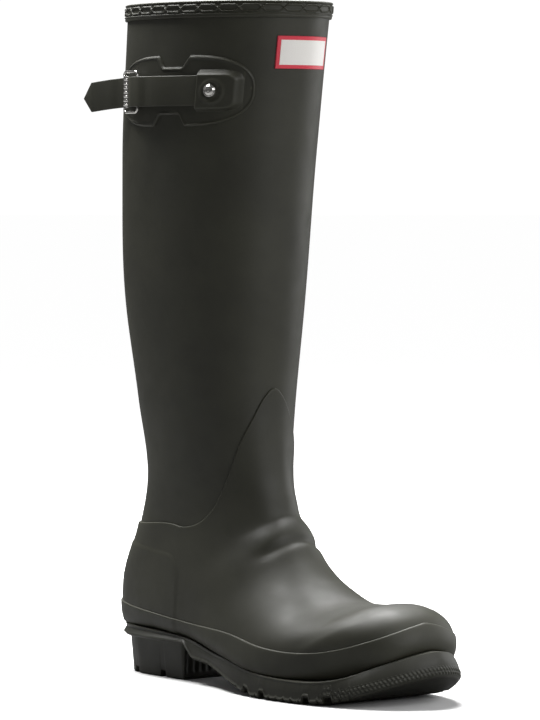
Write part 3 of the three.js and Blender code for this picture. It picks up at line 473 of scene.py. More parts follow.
def rubber(slot, dark, light, rough, grain_mm=0.35, peel=0.05):
    """Moulded matte rubber: cloudy colour, sharp edges painted paler as a highlight, a fine grain and a soft
    unevenness.
    """
    paint = Paint(slot, Specular_IOR_Level=0.5)
    cloud = paint.spread(paint.noise(45, 4), 0.35, 0.65)
    # Painted highlight: sharp edges, found by pointiness, are lightened in the base colour to stand in for
    # highlight lines.
    edge_highlight = paint.spread(paint.add("ShaderNodeNewGeometry").outputs["Pointiness"], 0.505, 0.56, 0.0, 0.55)
    speck = paint.spread(paint.noise(1.4, 3), 0.62, 0.78, 0.0, 0.18)
    colour = paint.mix(speck, paint.mix(cloud, dark, light), tuple(1.7 * c for c in light))
    colour = paint.mix(edge_highlight, colour, tuple(2.0 * c for c in light))
    roughness = paint.spread(paint.noise(14, 3), 0.3, 0.7, rough - 0.045, rough + 0.045)
    uneven = paint.bump(paint.noise(9, 2), peel)
    normal = paint.bump(paint.noise(grain_mm, 2), 0.012, normal=uneven)
    return paint.finish(slot, Base_Color=colour, Roughness=roughness, Normal=normal)


def knit(slot, dark, light, row_mm, around):
    """A knitted cloth: rows up the leg and wales round it."""
    paint = Paint(slot, Roughness=0.92, Sheen_Weight=0.25, Sheen_Roughness=0.5, Specular_IOR_Level=0.2)
    parts = paint.add("ShaderNodeSeparateXYZ", {0: paint.place}).outputs
    turn = paint.maths("ARCTAN2", parts[0], paint.maths("ADD", parts[1], 0.03))
    wale = paint.maths("SINE", paint.maths("MULTIPLY", turn, around))
    rise = paint.maths("MULTIPLY", parts[2], 2 * math.pi / (row_mm * MM))
    lean = paint.maths("MULTIPLY", paint.maths("ABSOLUTE", wale), 1.6)
    row = paint.maths("SINE", paint.maths("ADD", rise, lean))
    loop = paint.maths("MULTIPLY", paint.spread(wale, -1, 1), paint.spread(row, -1, 1, 0.35, 1.0))
    mixed = paint.mix(paint.spread(paint.noise(6, 3), 0.3, 0.7, 0.1, 0.5), loop, paint.noise(1.5, 2))
    colour = paint.mix(paint.spread(mixed, 0.05, 0.8), dark, light)
    return paint.finish(slot, Base_Color=colour, Normal=paint.bump(loop, 0.25, 0.8))


def plain(slot, dark, light, rough, size_mm, depth_mm=0.02, metal=0.0, **constants):
    """A finish with its own clouding and surface texture at one size."""
    paint = Paint(slot, Metallic=metal, **constants)
    texture = paint.noise(size_mm, 4, 0.6)
    colour = paint.mix(paint.spread(texture, 0.3, 0.7), dark, light)
    roughness = paint.spread(paint.noise(3 * size_mm, 3), 0.3, 0.7, 0.8 * rough, 1.2 * rough)
    return paint.finish(slot, Base_Color=colour, Roughness=roughness, Normal=paint.bump(texture, depth_mm))


UPPER = rubber("upper_rubber", (0.0235, 0.0235, 0.0150), (0.0320, 0.0320, 0.0205), 0.56)
SOLE = rubber("sole_rubber", (0.021, 0.0210, 0.0145), (0.028, 0.0280, 0.0195), 0.52, grain_mm=0.5, peel=0.08)
SPONGE = plain("sponge_rubber", (0.03, 0.03, 0.028), (0.07, 0.07, 0.065), 0.9, 0.8, 0.3)
LINING = knit("lining_cloth", (0.045, 0.046, 0.040), (0.17, 0.17, 0.145), 1.3, 230)
FOOTBED_CLOTH = knit("footbed_foam", (0.02, 0.02, 0.019), (0.09, 0.09, 0.085), 1.0, 300)
BOARD = plain("fibre_board", (0.28, 0.19, 0.10), (0.42, 0.30, 0.17), 0.85, 0.6, 0.05)
STEEL = plain("shank_steel", (0.38, 0.38, 0.39), (0.52, 0.52, 0.52), 0.35, 0.5, 0.01, metal=1.0)
NICKEL = plain("nickel", (0.62, 0.61, 0.58), (0.80, 0.78, 0.75), 0.17, 0.7, 0.006, metal=1.0)
RED = plain("label_red", (0.72, 0.045, 0.075), (0.80, 0.06, 0.095), 0.42, 0.5, 0.01)
WHITE = plain("label_white", (0.93, 0.90, 0.86), (0.98, 0.96, 0.92), 0.35, 0.5, 0.01)


def floor_finish():
    """A pale floor that sends little light back up, as if it stopped just outside the picture."""
    paint = Paint("studio_floor", Roughness=0.9, Specular_IOR_Level=0.0, Emission_Color=(1, 1, 1, 1))
    pale = paint.mix(paint.noise(40), (0.90, 0.90, 0.90), (0.93, 0.93, 0.93))
    seen = paint.add("ShaderNodeLightPath").outputs["Is Camera Ray"]
    place = paint.add("ShaderNodeVectorMath", {0: paint.place}, operation="LENGTH").outputs["Value"]
    far = paint.maths("MULTIPLY", paint.spread(place, 0.3, 1.2, 0.0, 0.9), seen)
    colour = paint.mix(seen, (0.2, 0.2, 0.2), pale)
    return paint.finish("studio_floor", Base_Color=colour, Emission_Strength=far)


FLOOR = floor_finish()


# ---- the upper -----------------------------------------------------------------------------------
COLUMNS = 256
turns = np.arange(COLUMNS) / COLUMNS
edge_places = vamp_edge_at(2 * np.minimum(turns, 1 - turns))
edge_step = surface(edge_places + 0.001, turns) - surface(edge_places - 0.001, turns)
edge_pace = np.linalg.norm(edge_step, axis=1) / 0.002


def ripples(point):
    """Slow unevenness of hand-laid rubber, in millimetres."""
    x, y, z = (point[..., k] for k in range(3))
    return 0.14 * np.sin(x / 11 + z / 37) * np.sin(z / 19 - y / 23) + 0.1 * np.sin(y / 9 + z / 14)


def arc_across(x, arc):
    return arc["height"] - arc["drop"] * ((x - arc["middle"]) / arc["half_width"]) ** 2


def relief(point):
    """How far the vamp's face stands out of its smooth shape at a point of it."""
    x, forward, height = point[..., 0], HEEL_CENTRE - point[..., 1], point[..., 2]
    upper, lower = arc_across(x, ROLL_TOP), arc_across(x, ROLL_LOW)
    share = np.clip((height - lower) / (upper - lower), 0, 1)
    roll = ROLL_PROUD * np.sin(math.pi * share) ** 1.3
    creases = -1.5 * bell(height - lower + 0.8, 2.6) - 0.55 * bell(height - upper - 2, 5)
    front = smoothstep(forward, 86, 100) * (1 - smoothstep(np.abs(x - 2), 17, 31))
    fold = front * (roll + creases)

    corner = COUNTER["corner"]
    ahead = np.maximum(corner - (COUNTER["front"] - forward - 0.002 * (height - 56) ** 2), 0)
    above = np.maximum(corner - (COUNTER["top"] - 0.08 * forward - height), 0)
    counter = COUNTER["proud"] * smoothstep(corner - np.hypot(ahead, above), -1.3, 1.3)

    across = (np.abs(x - TOE_LINE["middle"]) / TOE_LINE["half_width"]) ** 4
    past_toe_line = forward - TOE_LINE["forward"] + TOE_LINE["curl"] * across
    step = TOE_LINE["step"]
    toe = step * smoothstep(past_toe_line, -2, 2) - step * bell(past_toe_line + 3, 5)
    return fold + counter + toe * smoothstep(height, 30, 36) + ripples(point)


def leg_panel():
    low = edge_places - VAMP_OVERLAP
    outer_places = low + (1 - low) * np.linspace(0, 1, 170)[:, None]
    inner_places = low + (1 - low) * np.linspace(1, 0, 24)[:, None]
    outer = surface(outer_places, turns, 0.4 * ripples(surface(outer_places, turns)))
    inner = surface(inner_places, turns, -RUBBER)
    shell("leg", np.concatenate([outer, inner]), UPPER, closed=True, nodes=["leg_panel"])
    return outer


def vamp_panel():
    bevel = [(1.0, 1.2), (0.5, 1.12), (0.2, 0.9), (0.05, 0.6), (0.0, 0.12)]
    rows = 270
    places = (edge_places - bevel[0][0] / edge_pace) * np.linspace(0, 1, rows)[:, None]
    outer = surface(places, turns, VAMP_FACE + relief(surface(places, turns)))
    rounding = []
    for back, off in bevel[1:]:
        place = edge_places - back / edge_pace
        lift = relief(surface(place, turns)) if off > VAMP_LAP else 0.0
        rounding.append(surface(place, turns, off + lift))
    inner_places = (edge_places - 1.15 * VAMP_OVERLAP) * np.linspace(0, 1, 60)[:, None]
    inner = surface(inner_places, turns, -RUBBER)
    lap = surface(edge_places - 1.08 * VAMP_OVERLAP, turns, 0.12)
    loops = np.concatenate([inner, lap[None], np.array(rounding[::-1]), outer[::-1]])
    shell("vamp", loops, UPPER, nodes=["vamp_panel"])
    return outer


leg_outer = leg_panel()
vamp_outer = vamp_panel()


def tree_of(*grids):
    """A search tree over wrapped grids of points, to find where straight lines meet them."""
    points, faces, start = [], [], 0
    for grid in grids:
        rows, columns = grid.shape[:2]
        points.append(grid.reshape(-1, 3))
        faces.append(grid_quads(rows, columns, wrap_columns=True, start=start))
        start += rows * columns
    return BVHTree.FromPolygons(np.concatenate(points).tolist(), np.concatenate(faces).tolist())


vamp_tree = tree_of(vamp_outer)


def first_hit(tree, origin, direction, otherwise):
    hit = tree.ray_cast(Vector(origin), Vector(direction))[0]
    return np.array(otherwise if hit is None else hit, float)


# ---- the sole ------------------------------------------------------------------------------------
def around_sole(count):
    """Stations round the sole, closer at the ribbed toe: place, way out, centre, forward, arc."""
    plan = np.array([(x, HEEL_CENTRE - f, 0.0) for x, f in SOLE_PLAN], float)
    wrapped = np.concatenate([plan[-3:], plan, plan[:4]])
    knots = np.concatenate([[0], np.cumsum(np.linalg.norm(np.diff(wrapped, axis=0), axis=1))])
    fine = hermite(knots, wrapped)(np.linspace(knots[3], knots[len(plan) + 3], 8001))
    steps = np.linalg.norm(np.diff(fine, axis=0), axis=1)
    arc = np.concatenate([[0], np.cumsum(steps)])
    closeness = 1 + 1.6 * smoothstep(HEEL_CENTRE - fine[:-1, 1], 196, 214)
    travel = np.concatenate([[0], np.cumsum(steps * closeness)])
    wanted = np.linspace(0, travel[-1], count + 1)[:-1]
    place = np.stack([np.interp(wanted, travel, fine[:, k]) for k in range(3)], -1)
    along = np.roll(place, -1, axis=0) - np.roll(place, 1, axis=0)
    along /= np.linalg.norm(along, axis=1)[:, None]
    out = np.stack([-along[:, 1], along[:, 0], np.zeros(count)], -1)
    centre = np.stack([np.zeros(count), np.clip(place[:, 1], *SPINE), np.zeros(count)], -1)
    out *= np.sign(np.einsum("ij,ij->i", out, place - centre))[:, None]
    return place, out, centre, HEEL_CENTRE - place[:, 1], np.interp(wanted, travel, arc)


def sides_of(place, out, heights, thick):
    """Points on the vamp's side at each station and height, stood off it by a thickness."""
    points = np.empty((len(place), 3))
    for k in range(len(place)):
        level = np.array([0, 0, heights[k]])
        start = place[k] + 40 * out[k] + level
        points[k] = first_hit(vamp_tree, start, -out[k], place[k] - 6 * out[k] + level)
    return points + out * np.broadcast_to(thick, (len(place),))[:, None]


def foxing_band():
    place, out, _, forward, _ = around_sole(560)
    low, high = welt(forward) + 0.25, foxing_top(forward)
    face = [(0.0, 1.0), (0.012, 1.35), (0.04, 1.5), (0.1, 1.45), (0.2, 1.3), (0.35, 1.2), (0.5, 1.12),
            (0.65, 1.05), (0.78, 1.0), (0.88, 0.98), (0.94, 0.97), (0.97, 0.92), (0.985, 0.78), (0.996, 0.5),
            (1.0, 0.1)]
    back = [(1.0, -0.4), (0.6, -0.4), (0.3, -0.4), (0.0, -0.4)]
    loops = np.array([sides_of(place, out, lerp(low, high, share), thick) for share, thick in face + back])
    shell("foxing", loops, UPPER, closed=True, nodes=["foxing_band"])
    return loops[:len(face)]


def between(value, low, high):
    """1 between two pairs of places, falling to 0 outside them."""
    return smoothstep(value, *low) * (1 - smoothstep(value, *high))


def groove_cut(x, forward):
    """Share of a full groove's depth at places under the forefoot."""
    cut = np.zeros(np.broadcast(x, forward).shape)
    for k, middle in enumerate(GROOVES):
        lean = GROOVE_SLANT * (1 if k % 2 == 0 else -1)
        away = np.abs(forward - middle + lean * x)
        cut = np.maximum(cut, 1 - smoothstep(away, GROOVE_WIDTH / 2 - 0.35, GROOVE_WIDTH / 2 + 0.35))
    zigzag = np.abs(((forward + 2.2 * np.abs(((x / 11) % 1) - 0.5) * 2) % 6.5) - 3.25)
    fine = (1 - smoothstep(zigzag, 0.45, 0.95)) * between(forward, (134, 138), (232, 236))
    return np.maximum(cut, 0.3 * fine)


def underside(points):
    forward = HEEL_CENTRE - points[..., 1]
    forefoot = smoothstep(forward, 126, 132)
    wave = 0.5 + 0.5 * np.cos(2 * math.pi * forward / 5)
    waist_ribs = 0.35 * wave * between(forward, (82, 88), (118, 124))
    return tread(forward) + GROOVE_DEPTH * forefoot * groove_cut(points[..., 0], forward) + waist_ribs


def toe_ribs(arc, forward, height):
    """Slanting ribs in short rows round the lower edge of the toe, by arc and height over the edge."""
    row_mm, rib_mm = 2.3, 2.5
    rib = 0.5 + 0.5 * np.cos(2 * math.pi * (arc + 0.7 * height) / rib_mm)
    gap = 1 - bell((height / row_mm) % 1 - 0.5, 0.17)
    reach = smoothstep(forward, 206, 222) * smoothstep(height, 0.1, 0.7) * (1 - smoothstep(height, 5.9, 6.6))
    return 0.55 * reach * rib * gap


def outsole():
    place, out, centre, forward, arc = around_sole(960)
    top = welt(forward)
    rounding = SOLE_EDGE["rounding"]

    def inset(distance, height):
        distance, height = (np.broadcast_to(value, forward.shape)[:, None] for value in (distance, height))
        return place - out * distance + height * np.array([0, 0, 1.0])

    def shrink(edge, share):
        return centre + (edge * np.array([1, 1, 0]) - centre) * share

    edge = inset(SOLE_EDGE["inset"], 0.0)
    bottom = underside(edge)
    toe = smoothstep(forward, 218, 240)
    heel = 1 - smoothstep(forward, 62, 84)
    tall = top - bottom
    loops = []
    for share in np.linspace(0.06, 1, 34):
        under = shrink(edge, share)
        under[:, 2] = underside(under)
        loops.append(under)
    for angle in np.radians([15, 32, 50, 70, 90]):
        back = SOLE_EDGE["inset"] - SOLE_EDGE["swell"] * math.sin(angle)
        loops.append(inset(back, bottom + rounding * (1 - math.cos(angle))))
    for share in np.linspace(0, 1, 40)[1:]:
        up = rounding + (tall - rounding) * share
        flare = lerp(0.9, 3.4, toe) * np.clip((share - 0.45) / 0.55, 0, 1) ** 1.6
        hollow = 1.1 * heel * bell(share - 0.62, 0.26)
        bead = 0.7 * (1 - toe) * bell(up - 1.9, 0.9) + 0.35 * (1 - toe) * bell(tall - up - 0.5, 0.6)
        ribs = toe_ribs(arc, forward, up - 0.9)
        wall = SOLE_EDGE["wall"] * (1 - bell(up - 4, 3) * toe)
        loops.append(inset(wall + flare + hollow - bead - ribs, bottom + up))
    lip = sides_of(place, out, top, 0.35)
    loops.append(lip)
    for share in (0.94, 0.85, 0.7, 0.5, 0.3, 0.15):
        floor = shrink(lip, share)
        for k in range(len(floor)):
            low = first_hit(vamp_tree, (floor[k, 0], floor[k, 1], -60), (0, 0, 1), (0, 0, top[k] - 2))
            floor[k, 2] = min(low[2] - 0.35, top[k] - 0.5)
        loops.append(floor)
    shell("outsole", np.array(loops), SOLE, nodes=["outsole"])


def heel_outline(count):
    """The heel's plan: round behind, straight in front with rounded corners. Place and way out."""
    wide, corner = HEEL["half_width"], 3.0
    front, middle = HEEL_CENTRE - HEEL["breast"], HEEL_CENTRE - (HEEL["back"] + wide)
    angles = np.linspace(0, math.pi, 60)
    rear = [(wide * math.cos(a), middle + wide * math.sin(a)) for a in angles]
    bend = np.linspace(0, math.pi / 2, 8)
    turn = [(corner - corner * math.cos(a), corner - corner * math.sin(a)) for a in bend]
    left = [(-wide + x, front + y) for x, y in turn]
    right = [(wide - y, front + x) for x, y in turn]
    points = np.array(rear + left + right + rear[:1])
    lengths = np.concatenate([[0], np.cumsum(np.linalg.norm(np.diff(points, axis=0), axis=1))])
    wanted = np.linspace(0, lengths[-1], count + 1)[:-1] + lengths[59] / 2
    wanted %= lengths[-1]
    x, y = (np.interp(wanted, lengths, points[:, k]) for k in range(2))
    place = np.stack([x, y, np.zeros(count)], -1)
    along = np.roll(place, -1, axis=0) - np.roll(place, 1, axis=0)
    along /= np.linalg.norm(along, axis=1)[:, None]
    return place, np.stack([along[:, 1], -along[:, 0], np.zeros(count)], -1)


def heel_block():
    place, out = heel_outline(520)
    centre = np.array([0, HEEL_CENTRE - 27, 0])
    edge = place - 3.4 * out

    def bottom(points):
        forward = HEEL_CENTRE - points[:, 1]
        cut = np.zeros(len(points))
        for middle in HEEL["grooves"]:
            away = np.abs(forward - middle)
            cut = np.maximum(cut, 1 - smoothstep(away, GROOVE_WIDTH / 2 - 0.4, GROOVE_WIDTH / 2 + 0.4))
        return GROOVE_DEPTH * cut

    loops = []
    for share in np.linspace(0.06, 1, 26):
        under = centre + (edge - centre) * share
        under[:, 2] = bottom(under)
        loops.append(under)
    low = bottom(edge)
    for angle in np.radians([20, 40, 60, 78]):
        ring_points = place - out * (3.4 - 1.6 * math.sin(angle))
        ring_points[:, 2] = low + 1.6 * (1 - math.cos(angle))
        loops.append(ring_points)
    breast = smoothstep(-out[:, 1], 0.9, 0.99)
    for share in np.linspace(0, 1, 22):
        height = lerp(low + 1.6, HEEL_TOP, share)
        wave = 0.5 + 0.5 * np.cos(2 * math.pi * place[:, 0] / 5)
        flutes = 0.7 * breast * wave * between(share, (0.1, 0.2), (0.72, 0.8))
        overhang = 1.6 * breast * (1 - smoothstep(share, 0.74, 0.84))
        ring_points = place - out * (1.8 * (1 - share) + flutes + overhang)[:, None]
        ring_points[:, 2] = height
        loops.append(ring_points)
    for share in (0.9, 0.5, 0.1):
        top = centre + (place - centre) * share
        top[:, 2] = HEEL_TOP
        loops.append(top)
    shell("heel", np.array(loops), SOLE, nodes=["heel_block"])


foxing_outer = foxing_band()
outsole()
heel_block()


# ---- the back strip and the rim ------------------------------------------------------------------
def back_strip():
    tree = tree_of(leg_outer, vamp_outer, foxing_outer)
    heights = np.linspace(31.6, RIM_LOW - 0.3, 300)
    across = np.array([-1, -0.985, -0.94, -0.86, -0.7, -0.45, -0.15, 0.15, 0.45, 0.7, 0.86, 0.94, 0.985, 1])
    thick = 0.1 + 1.25 * (1 - np.abs(across) ** 14)
    half = STRIP_HALF_WIDTH
    behind = lambda u, z: first_hit(tree, (half * u, 95, z), (0, -1, 0), (half * u, 40, z))
    base = np.array([[behind(u, z) for u in across] for z in heights])
    padded = np.pad(base[..., 1], ((5, 5), (0, 0)), mode="edge")
    smooth = np.maximum(base[..., 1], np.mean([padded[k:k + len(heights)] for k in range(11)], axis=0))
    top, bottom = base.copy(), base.copy()
    top[..., 1] = smooth + thick
    bottom[..., 1] = base[..., 1] - 0.4
    slab("back_seam_strip", top, bottom, UPPER, nodes=["back_strip"])


def rim_band():
    links, low, high = CHAIN_LINKS, RIM_LOW, RIM_HIGH
    columns = 40 * links
    around = np.arange(columns) / columns
    open_share = 1 - smoothstep(np.abs((around * links) % 1 - 0.5), 0.3, 0.5)
    half_link = lerp(0.25, 1.9, open_share)
    middle = low + 5.6

    def face(z):
        chain = 0.8 * np.maximum(bell(z - middle - half_link, 0.42), bell(z - middle + half_link, 0.42))
        up = z - low
        edges = 0.25 * bell(up - 0.9, 0.6) + 0.65 * bell(up - 2.15, 0.42) - 0.35 * bell(up - 8.45, 0.32)
        return 1.3 + chain + edges + 0.3 * smoothstep(up, 8.4, 9)

    heights = np.arange(low + 0.25, high - 0.75, 0.2)
    rows = [(np.full(columns, 0.25), low), (np.full(columns, 1.3), low)] + [(face(z), z) for z in heights]
    turned_over = [(1.5, 9.65), (0.9, 10), (-1.5, 10), (-4.2, 10), (-5.1, 9.6), (-5.5, 8.8), (-5.5, 5),
                   (-5.5, 1.6), (-5.2, 1), (-4.15, 1), (-4.15, 5), (-4.15, 8.2), (-2, 8.2), (0.25, 8.2),
                   (0.25, 4)]
    rows += [(np.full(columns, off), low + up) for off, up in turned_over]
    loops = []
    for off, z in rows:
        loop = surface(place_at(np.full(columns, min(z, RIM)), around), around, off)
        loop[:, 2] = z
        loops.append(loop)
    shell("rim", np.array(loops), UPPER, closed=True, nodes=["rim_band"])


back_strip()
rim_band()


# ---- the inside ----------------------------------------------------------------------------------
def lining():
    columns = 160
    around = np.arange(columns) / columns
    places = np.linspace(0.004, 0.996, 150)[:, None]
    leg_share = smoothstep(places, 0.5, 0.6)
    outer = surface(places, around, lerp(FOOT_CLOTH[1], LEG_CLOTH[1], leg_share))
    inner = surface(places, around, lerp(FOOT_CLOTH[0], LEG_CLOTH[0], leg_share))
    shell("lining", np.concatenate([outer, inner[::-1]]), LINING, nodes=["foot_lining", "leg_lining"])


def footbed():
    places = np.linspace(*FOOTBED, 90)[:, None]
    across = np.linspace(-1, 1, 40)
    half = 0.118 - 0.035 * smoothstep(places, 0.2, 0.3)
    rise = (1 - np.abs(across) ** 5) * between(places, (FOOTBED[0], 0.06), (0.325, FOOTBED[1]))
    top = surface(places, 0.5 + half * across, lerp(-6.2, -10.0, rise))
    bottom = surface(places, 0.5 + half * across, -5.75)
    slab("insole", top, bottom, FOOTBED_CLOTH, nodes=["footbed"])


lining()
footbed()


# ---- the strap and what holds it -----------------------------------------------------------------
def patch_reach(distance):
    """Half the patch's height at a distance round the leg."""
    away = np.abs(distance - PATCH["middle"])
    share = np.clip((away - (PATCH["half_length"] - PATCH["end"])) / PATCH["end"], 0, 1)
    lobe = np.maximum(PATCH["half_height"] * (1 - share ** PATCH["square"]) ** (1 / PATCH["square"]), 0.3)
    narrow, wide = PATCH["notch"]
    return lobe - PATCH["notch_depth"] * (1 - smoothstep(away, narrow, wide))


def strap_patch():
    steps = np.sin(np.linspace(-math.pi / 2, math.pi / 2, 230))
    distance = PATCH["middle"] + PATCH["half_length"] * steps
    levels = np.sin(np.linspace(-math.pi / 2, math.pi / 2, 54)) * 0.999
    reach = patch_reach(distance)
    height = levels[:, None] * reach
    fine = PATCH["middle"] + PATCH["half_length"] * np.sin(np.linspace(-math.pi / 2, math.pi / 2, 900))
    outline = np.concatenate([np.stack([fine, side * patch_reach(fine)], -1) for side in (-1, 1)])
    nearest = lambda d, h: np.min(np.hypot(outline[:, 0] - d, outline[:, 1] - h))
    from_edge = np.array([[nearest(d, h) for d, h in zip(distance, row)] for row in height])
    off = 0.15 + 0.95 * smoothstep(from_edge, 0, 0.55) + 0.5 * bell(from_edge - 1.35, 0.6)
    place = (np.broadcast_to(distance, height.shape), STRAP["height"] + height)
    slab("patch", leg(*place, off), leg(*place, -0.1), UPPER, nodes=["strap_patch"])


def strap_pocket():
    distance = np.concatenate([np.linspace(POCKET["from"], POCKET["to"] - 0.6, 76),
                               POCKET["to"] - np.array([0.35, 0.15, 0.03, 0.0])])
    height = POCKET["half_height"] * np.sin(np.linspace(-math.pi / 2, math.pi / 2, 81))[:, None]
    corner = 6.5
    ahead = np.maximum(POCKET["from"] + 2 * corner - distance, 0) / 2
    aside = np.maximum(np.abs(height) - (POCKET["half_height"] - corner), 0)
    rise = smoothstep(corner - np.hypot(ahead, aside), 0, 3.2) ** 0.8
    ending = 1 - 0.12 * smoothstep(distance, POCKET["to"] - 0.7, POCKET["to"])
    from_stud = np.hypot(distance - STUD["along"], height)
    seat = 0.5 * bell(from_stud - 6.6, 1.1) - 0.5 * (1 - smoothstep(from_stud, 4.4, 6.0))
    top = 1.2 + (POCKET["top"] - 1.2) * rise * ending + seat * rise
    under = lerp(1.05, top - 1.0, smoothstep(rise, 0.7, 0.95))
    place = (np.broadcast_to(distance, rise.shape), STRAP["height"] + np.broadcast_to(height, rise.shape))
    slab("pocket", leg(*place, top), leg(*place, under), UPPER, nodes=["strap_pocket"])


def turned(name, distance, outline, finish, nodes, sides=64, **rest):
    """A turned piece on the leg: (radius, depth) pairs from axis to axis."""
    at, along, out = spot(distance, STRAP["height"])
    angles = np.arange(sides) * 2 * math.pi / sides
    loops = [at + out * depth + np.cos(angles)[:, None] * along * max(radius, 0.02)
             + np.sin(angles)[:, None] * np.array([0, 0, max(radius, 0.02)]) for radius, depth in outline]
    return shell(name, np.array(loops), finish, nodes=nodes, **rest)


def fasteners():
    top = POCKET["top"]
    cap = [(0, -0.7), (3.8, -0.7), (4.0, -0.1), (4.0, 0.5), (3.85, 0.9), (3.6, 1.05), (3.4, 0.98),
           (3.25, 0.8), (3.1, 0.95), (2.8, 1.25), (2.3, 1.6), (1.5, 1.9), (1.25, 1.93), (1.1, 1.82),
           (0.9, 1.9), (0.4, 2.02), (0, 2.05)]
    turned("stud", STUD["along"], [(r, top + d) for r, d in cap], NICKEL, ["stud_cap"], sharp=60)
    for node, distance, radius in (("stud_washer", STUD["along"], 5.0), ("loop_washer", LOOP["rivet"], 3.8)):
        disc = [(0, -5.0), (radius - 0.2, -5.0), (radius, -5.2), (radius, -5.7), (radius - 0.5, -6.1),
                (2.2, -6.3), (0, -6.3)]
        turned(node + "_inside", distance, disc, NICKEL, [node], sides=48)


def buckle_place():
    at, along, out = spot(BUCKLE["along"], STRAP["height"])
    return lambda back, up_off: at * np.array([1, 1, 0]) + along * back + out * up_off


def ribbon(name, path, widths, thick, finish, radius=0.5, **rest):
    """A strap on edge along a path, with its own half width at each point."""
    normals = level_normals(path)
    loops = []
    for point, normal, half in zip(path, normals, widths):
        section = rounded_section(thick / 2, half, min(radius, 0.8 * half))
        loops.append(point + section[:, :1] * normal + section[:, 1:] * np.array([0, 0, 1.0]))
    return shell(name, np.array(loops), finish, **rest)


def strap():
    local = buckle_place()
    flat = np.array([1, 1, 0])
    points = []
    for distance in np.arange(STRAP["start"], 101, 6):
        climb = smoothstep(distance, STRAP_OFF["from"], STRAP_OFF["to"])
        off = STRAP_OFF["pocket"] + STRAP_OFF["climb"] * climb
        points.append(leg(distance, STRAP["height"], off) * flat)
    for back, off in [(-8, 7.6), (-3, 8), (1, 7.9), (4, 7), (8, 4.6), (11, 2.9), TAIL_ROOT]:
        points.append(local(back, off))
    for along in (4, 9, 15, 22, TAIL["length"] - TAIL["point"], TAIL["length"]):
        lift = TAIL_ROOT[1] + TAIL["turn"] * along * min(1, along / 14)
        points.append(local(TAIL_ROOT[0] + along, lift))
    path = through(points, 220)
    root = local(*TAIL_ROOT)
    beyond = np.maximum(path[:, 1] - root[1], 0)
    path[:, 2] = STRAP["height"] - TAIL["droop"] * (beyond / TAIL["length"]) ** 1.3
    from_tip = np.linalg.norm(path - path[-1], axis=1)
    widths = STRAP["width"] / 2 * np.minimum(1, 0.05 + from_tip / TAIL["point"])
    nodes = ["strap", "strap_tail"]
    piece = ribbon("strap_and_end", path, widths, STRAP["thick"], UPPER, nodes=nodes, body=None)
    bend_ends = (local(back, TAIL_ROOT[1])[:2] for back in (14.5, 27))
    start, end = (np.append(place, STRAP["height"]) * MM for place in bend_ends)
    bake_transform(piece)


def buckle_loop():
    local = buckle_place()
    flat = np.array([1, 1, 0])
    reach = BUCKLE["bar"] / 2 + 0.3 + LOOP["thick"] / 2
    points = [leg(distance, STRAP["height"], 2.4) * flat for distance in (LOOP["from"], 94, 100, 106)]
    points.append(local(-4, 2.3))
    for angle in np.linspace(-math.pi / 2, math.pi / 2, 9):
        points.append(local(reach * math.cos(angle), BUCKLE["lift"] + reach * math.sin(angle)))
    points += [local(-4, BUCKLE["lift"] + reach - 0.5), local(-7.5, BUCKLE["lift"] + 0.1)]
    path = through(points, 90)
    path[:, 2] = STRAP["height"]
    widths = np.full(len(path), 6.0)
    ribbon("buckle_tab", path, widths, LOOP["thick"], UPPER, radius=0.3, nodes=["buckle_loop"])


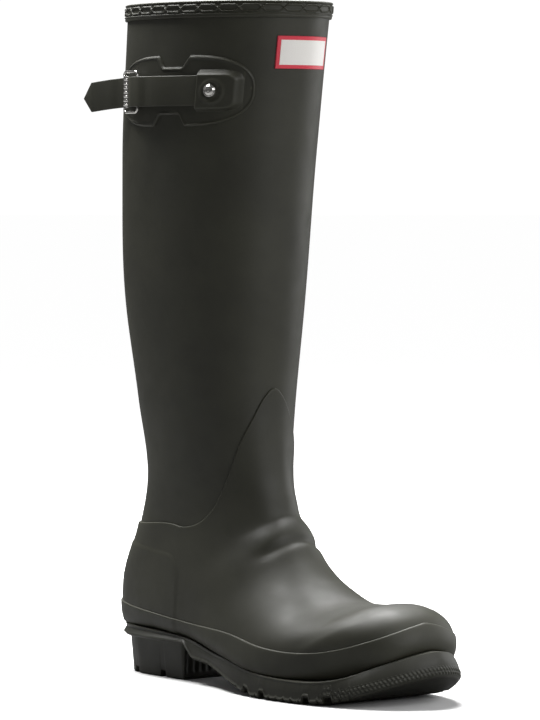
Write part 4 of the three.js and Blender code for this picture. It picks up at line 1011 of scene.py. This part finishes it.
def buckle():
    """A rounded wire frame whose rear bar widens to a flat plate with a row of plain beads."""
    at, along, out = spot(BUCKLE["along"], STRAP["height"])
    lean = BUCKLE["tilt"]
    back_way = along * math.cos(lean) + out * math.sin(lean)
    out_way = out * math.cos(lean) - along * math.sin(lean)
    up_way = np.array([0, 0, 1.0])
    origin = at + out * BUCKLE["lift"]
    origin[2] = STRAP["height"]
    span, tall, corner = BUCKLE["length"] - BUCKLE["bar"], (BUCKLE["height"] - BUCKLE["bar"]) / 2, 2.6
    far, high = span - corner, tall - corner
    corners = []
    for quarter, (a, u) in enumerate([(far, high), (corner, high), (corner, -high), (far, -high)]):
        turn = np.linspace(quarter, quarter + 1, 9) * math.pi / 2
        corners += [(a + corner * math.cos(q), u + corner * math.sin(q)) for q in turn]
    corners = np.array(corners + corners[:1])
    lengths = np.concatenate([[0], np.cumsum(np.linalg.norm(np.diff(corners, axis=0), axis=1))])
    wanted = np.linspace(0, lengths[-1], 361)[:-1]
    flat = np.stack([np.interp(wanted, lengths, corners[:, k]) for k in range(2)], -1)
    tangent = np.roll(flat, -1, axis=0) - np.roll(flat, 1, axis=0)
    tangent /= np.linalg.norm(tangent, axis=1)[:, None]
    ends = 1 - smoothstep(np.abs(flat[:, 1]), tall - 3.2, tall - 1.6)
    plate = smoothstep(flat[:, 0], span - 1.6, span - 0.3) * ends
    angles = np.linspace(0, 2 * math.pi, 25)[:-1]
    loops = []
    for (a, u), (ta, tu), wide in zip(flat, tangent, plate):
        side = tu * back_way - ta * up_way
        in_plane, thick = lerp(0.9, 2.7, wide), lerp(0.9, 0.6, wide)
        bead = np.maximum(np.cos(2 * math.pi * u / 2.6), -0.3)
        beads = 0.5 * wide * bead * np.maximum(np.sin(angles), 0) ** 2
        middle = origin + (a - 1.7 * wide) * back_way + u * up_way
        rounding = np.abs(np.cos(angles)) ** lerp(1, 0.6, wide) * np.sign(np.cos(angles))
        level, proud = in_plane * rounding, thick * np.sin(angles) + beads
        loops.append(middle + level[:, None] * side + proud[:, None] * out_way)
    shell("buckle", np.array(loops), NICKEL, closed=True, nodes=["buckle_frame"], body="buckle", sharp=70)


def label():
    """A blank two-colour label: a red base whose rim stands round a pale face."""
    ends = np.array([0, 0.002, 0.006, 0.012])
    steps = np.concatenate([ends, np.linspace(0.03, 0.97, 40), 1 - ends[::-1]]) * 2 - 1
    low_ends, high_ends = [0, 0.006, 0.016, 0.03], [0.97, 0.984, 0.994, 1]
    levels = np.concatenate([low_ends, np.linspace(0.06, 0.94, 16), high_ends]) * 2 - 1
    for name, finish, node, inset, low, high in (
        ("label_border", RED, "label_base", 0.0, -0.05, 1.05),
        ("label_blank_face", WHITE, "label_face", LABEL["border"], 0.9, 1.3),
    ):
        half_wide, half_tall = LABEL["width"] / 2 - inset, LABEL["tall"] / 2 - inset
        from_edge = np.minimum(half_wide * (1 - np.abs(steps)), half_tall * (1 - np.abs(levels[:, None])))
        top = high - 0.35 * (1 - smoothstep(from_edge, 0, 0.3))
        rows, columns = np.meshgrid(levels, steps, indexing="ij")
        place = (LABEL["middle"] + half_wide * columns, LABEL["height"] + half_tall * rows)
        slab(name, leg(*place, top), leg(*place, low), finish, nodes=[node])


strap_patch()
strap_pocket()
fasteners()
strap()
buckle_loop()
buckle()
label()

# ---- the CAD pieces that stay, all hidden inside ---------------------------------------------------
KEPT = {
    "heel_core": SPONGE, "ankle_stiffener_outer": SPONGE, "ankle_stiffener_inner": SPONGE, "shank": STEEL,
    "insole_board": BOARD, "heel_counter": BOARD, "toe_puff": BOARD,
    "stud_post": NICKEL, "loop_rivet": NICKEL,
}
for node, finish in KEPT.items():
    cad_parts[node].data.materials.clear()
    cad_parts[node].data.materials.append(finish["material"])

studio()
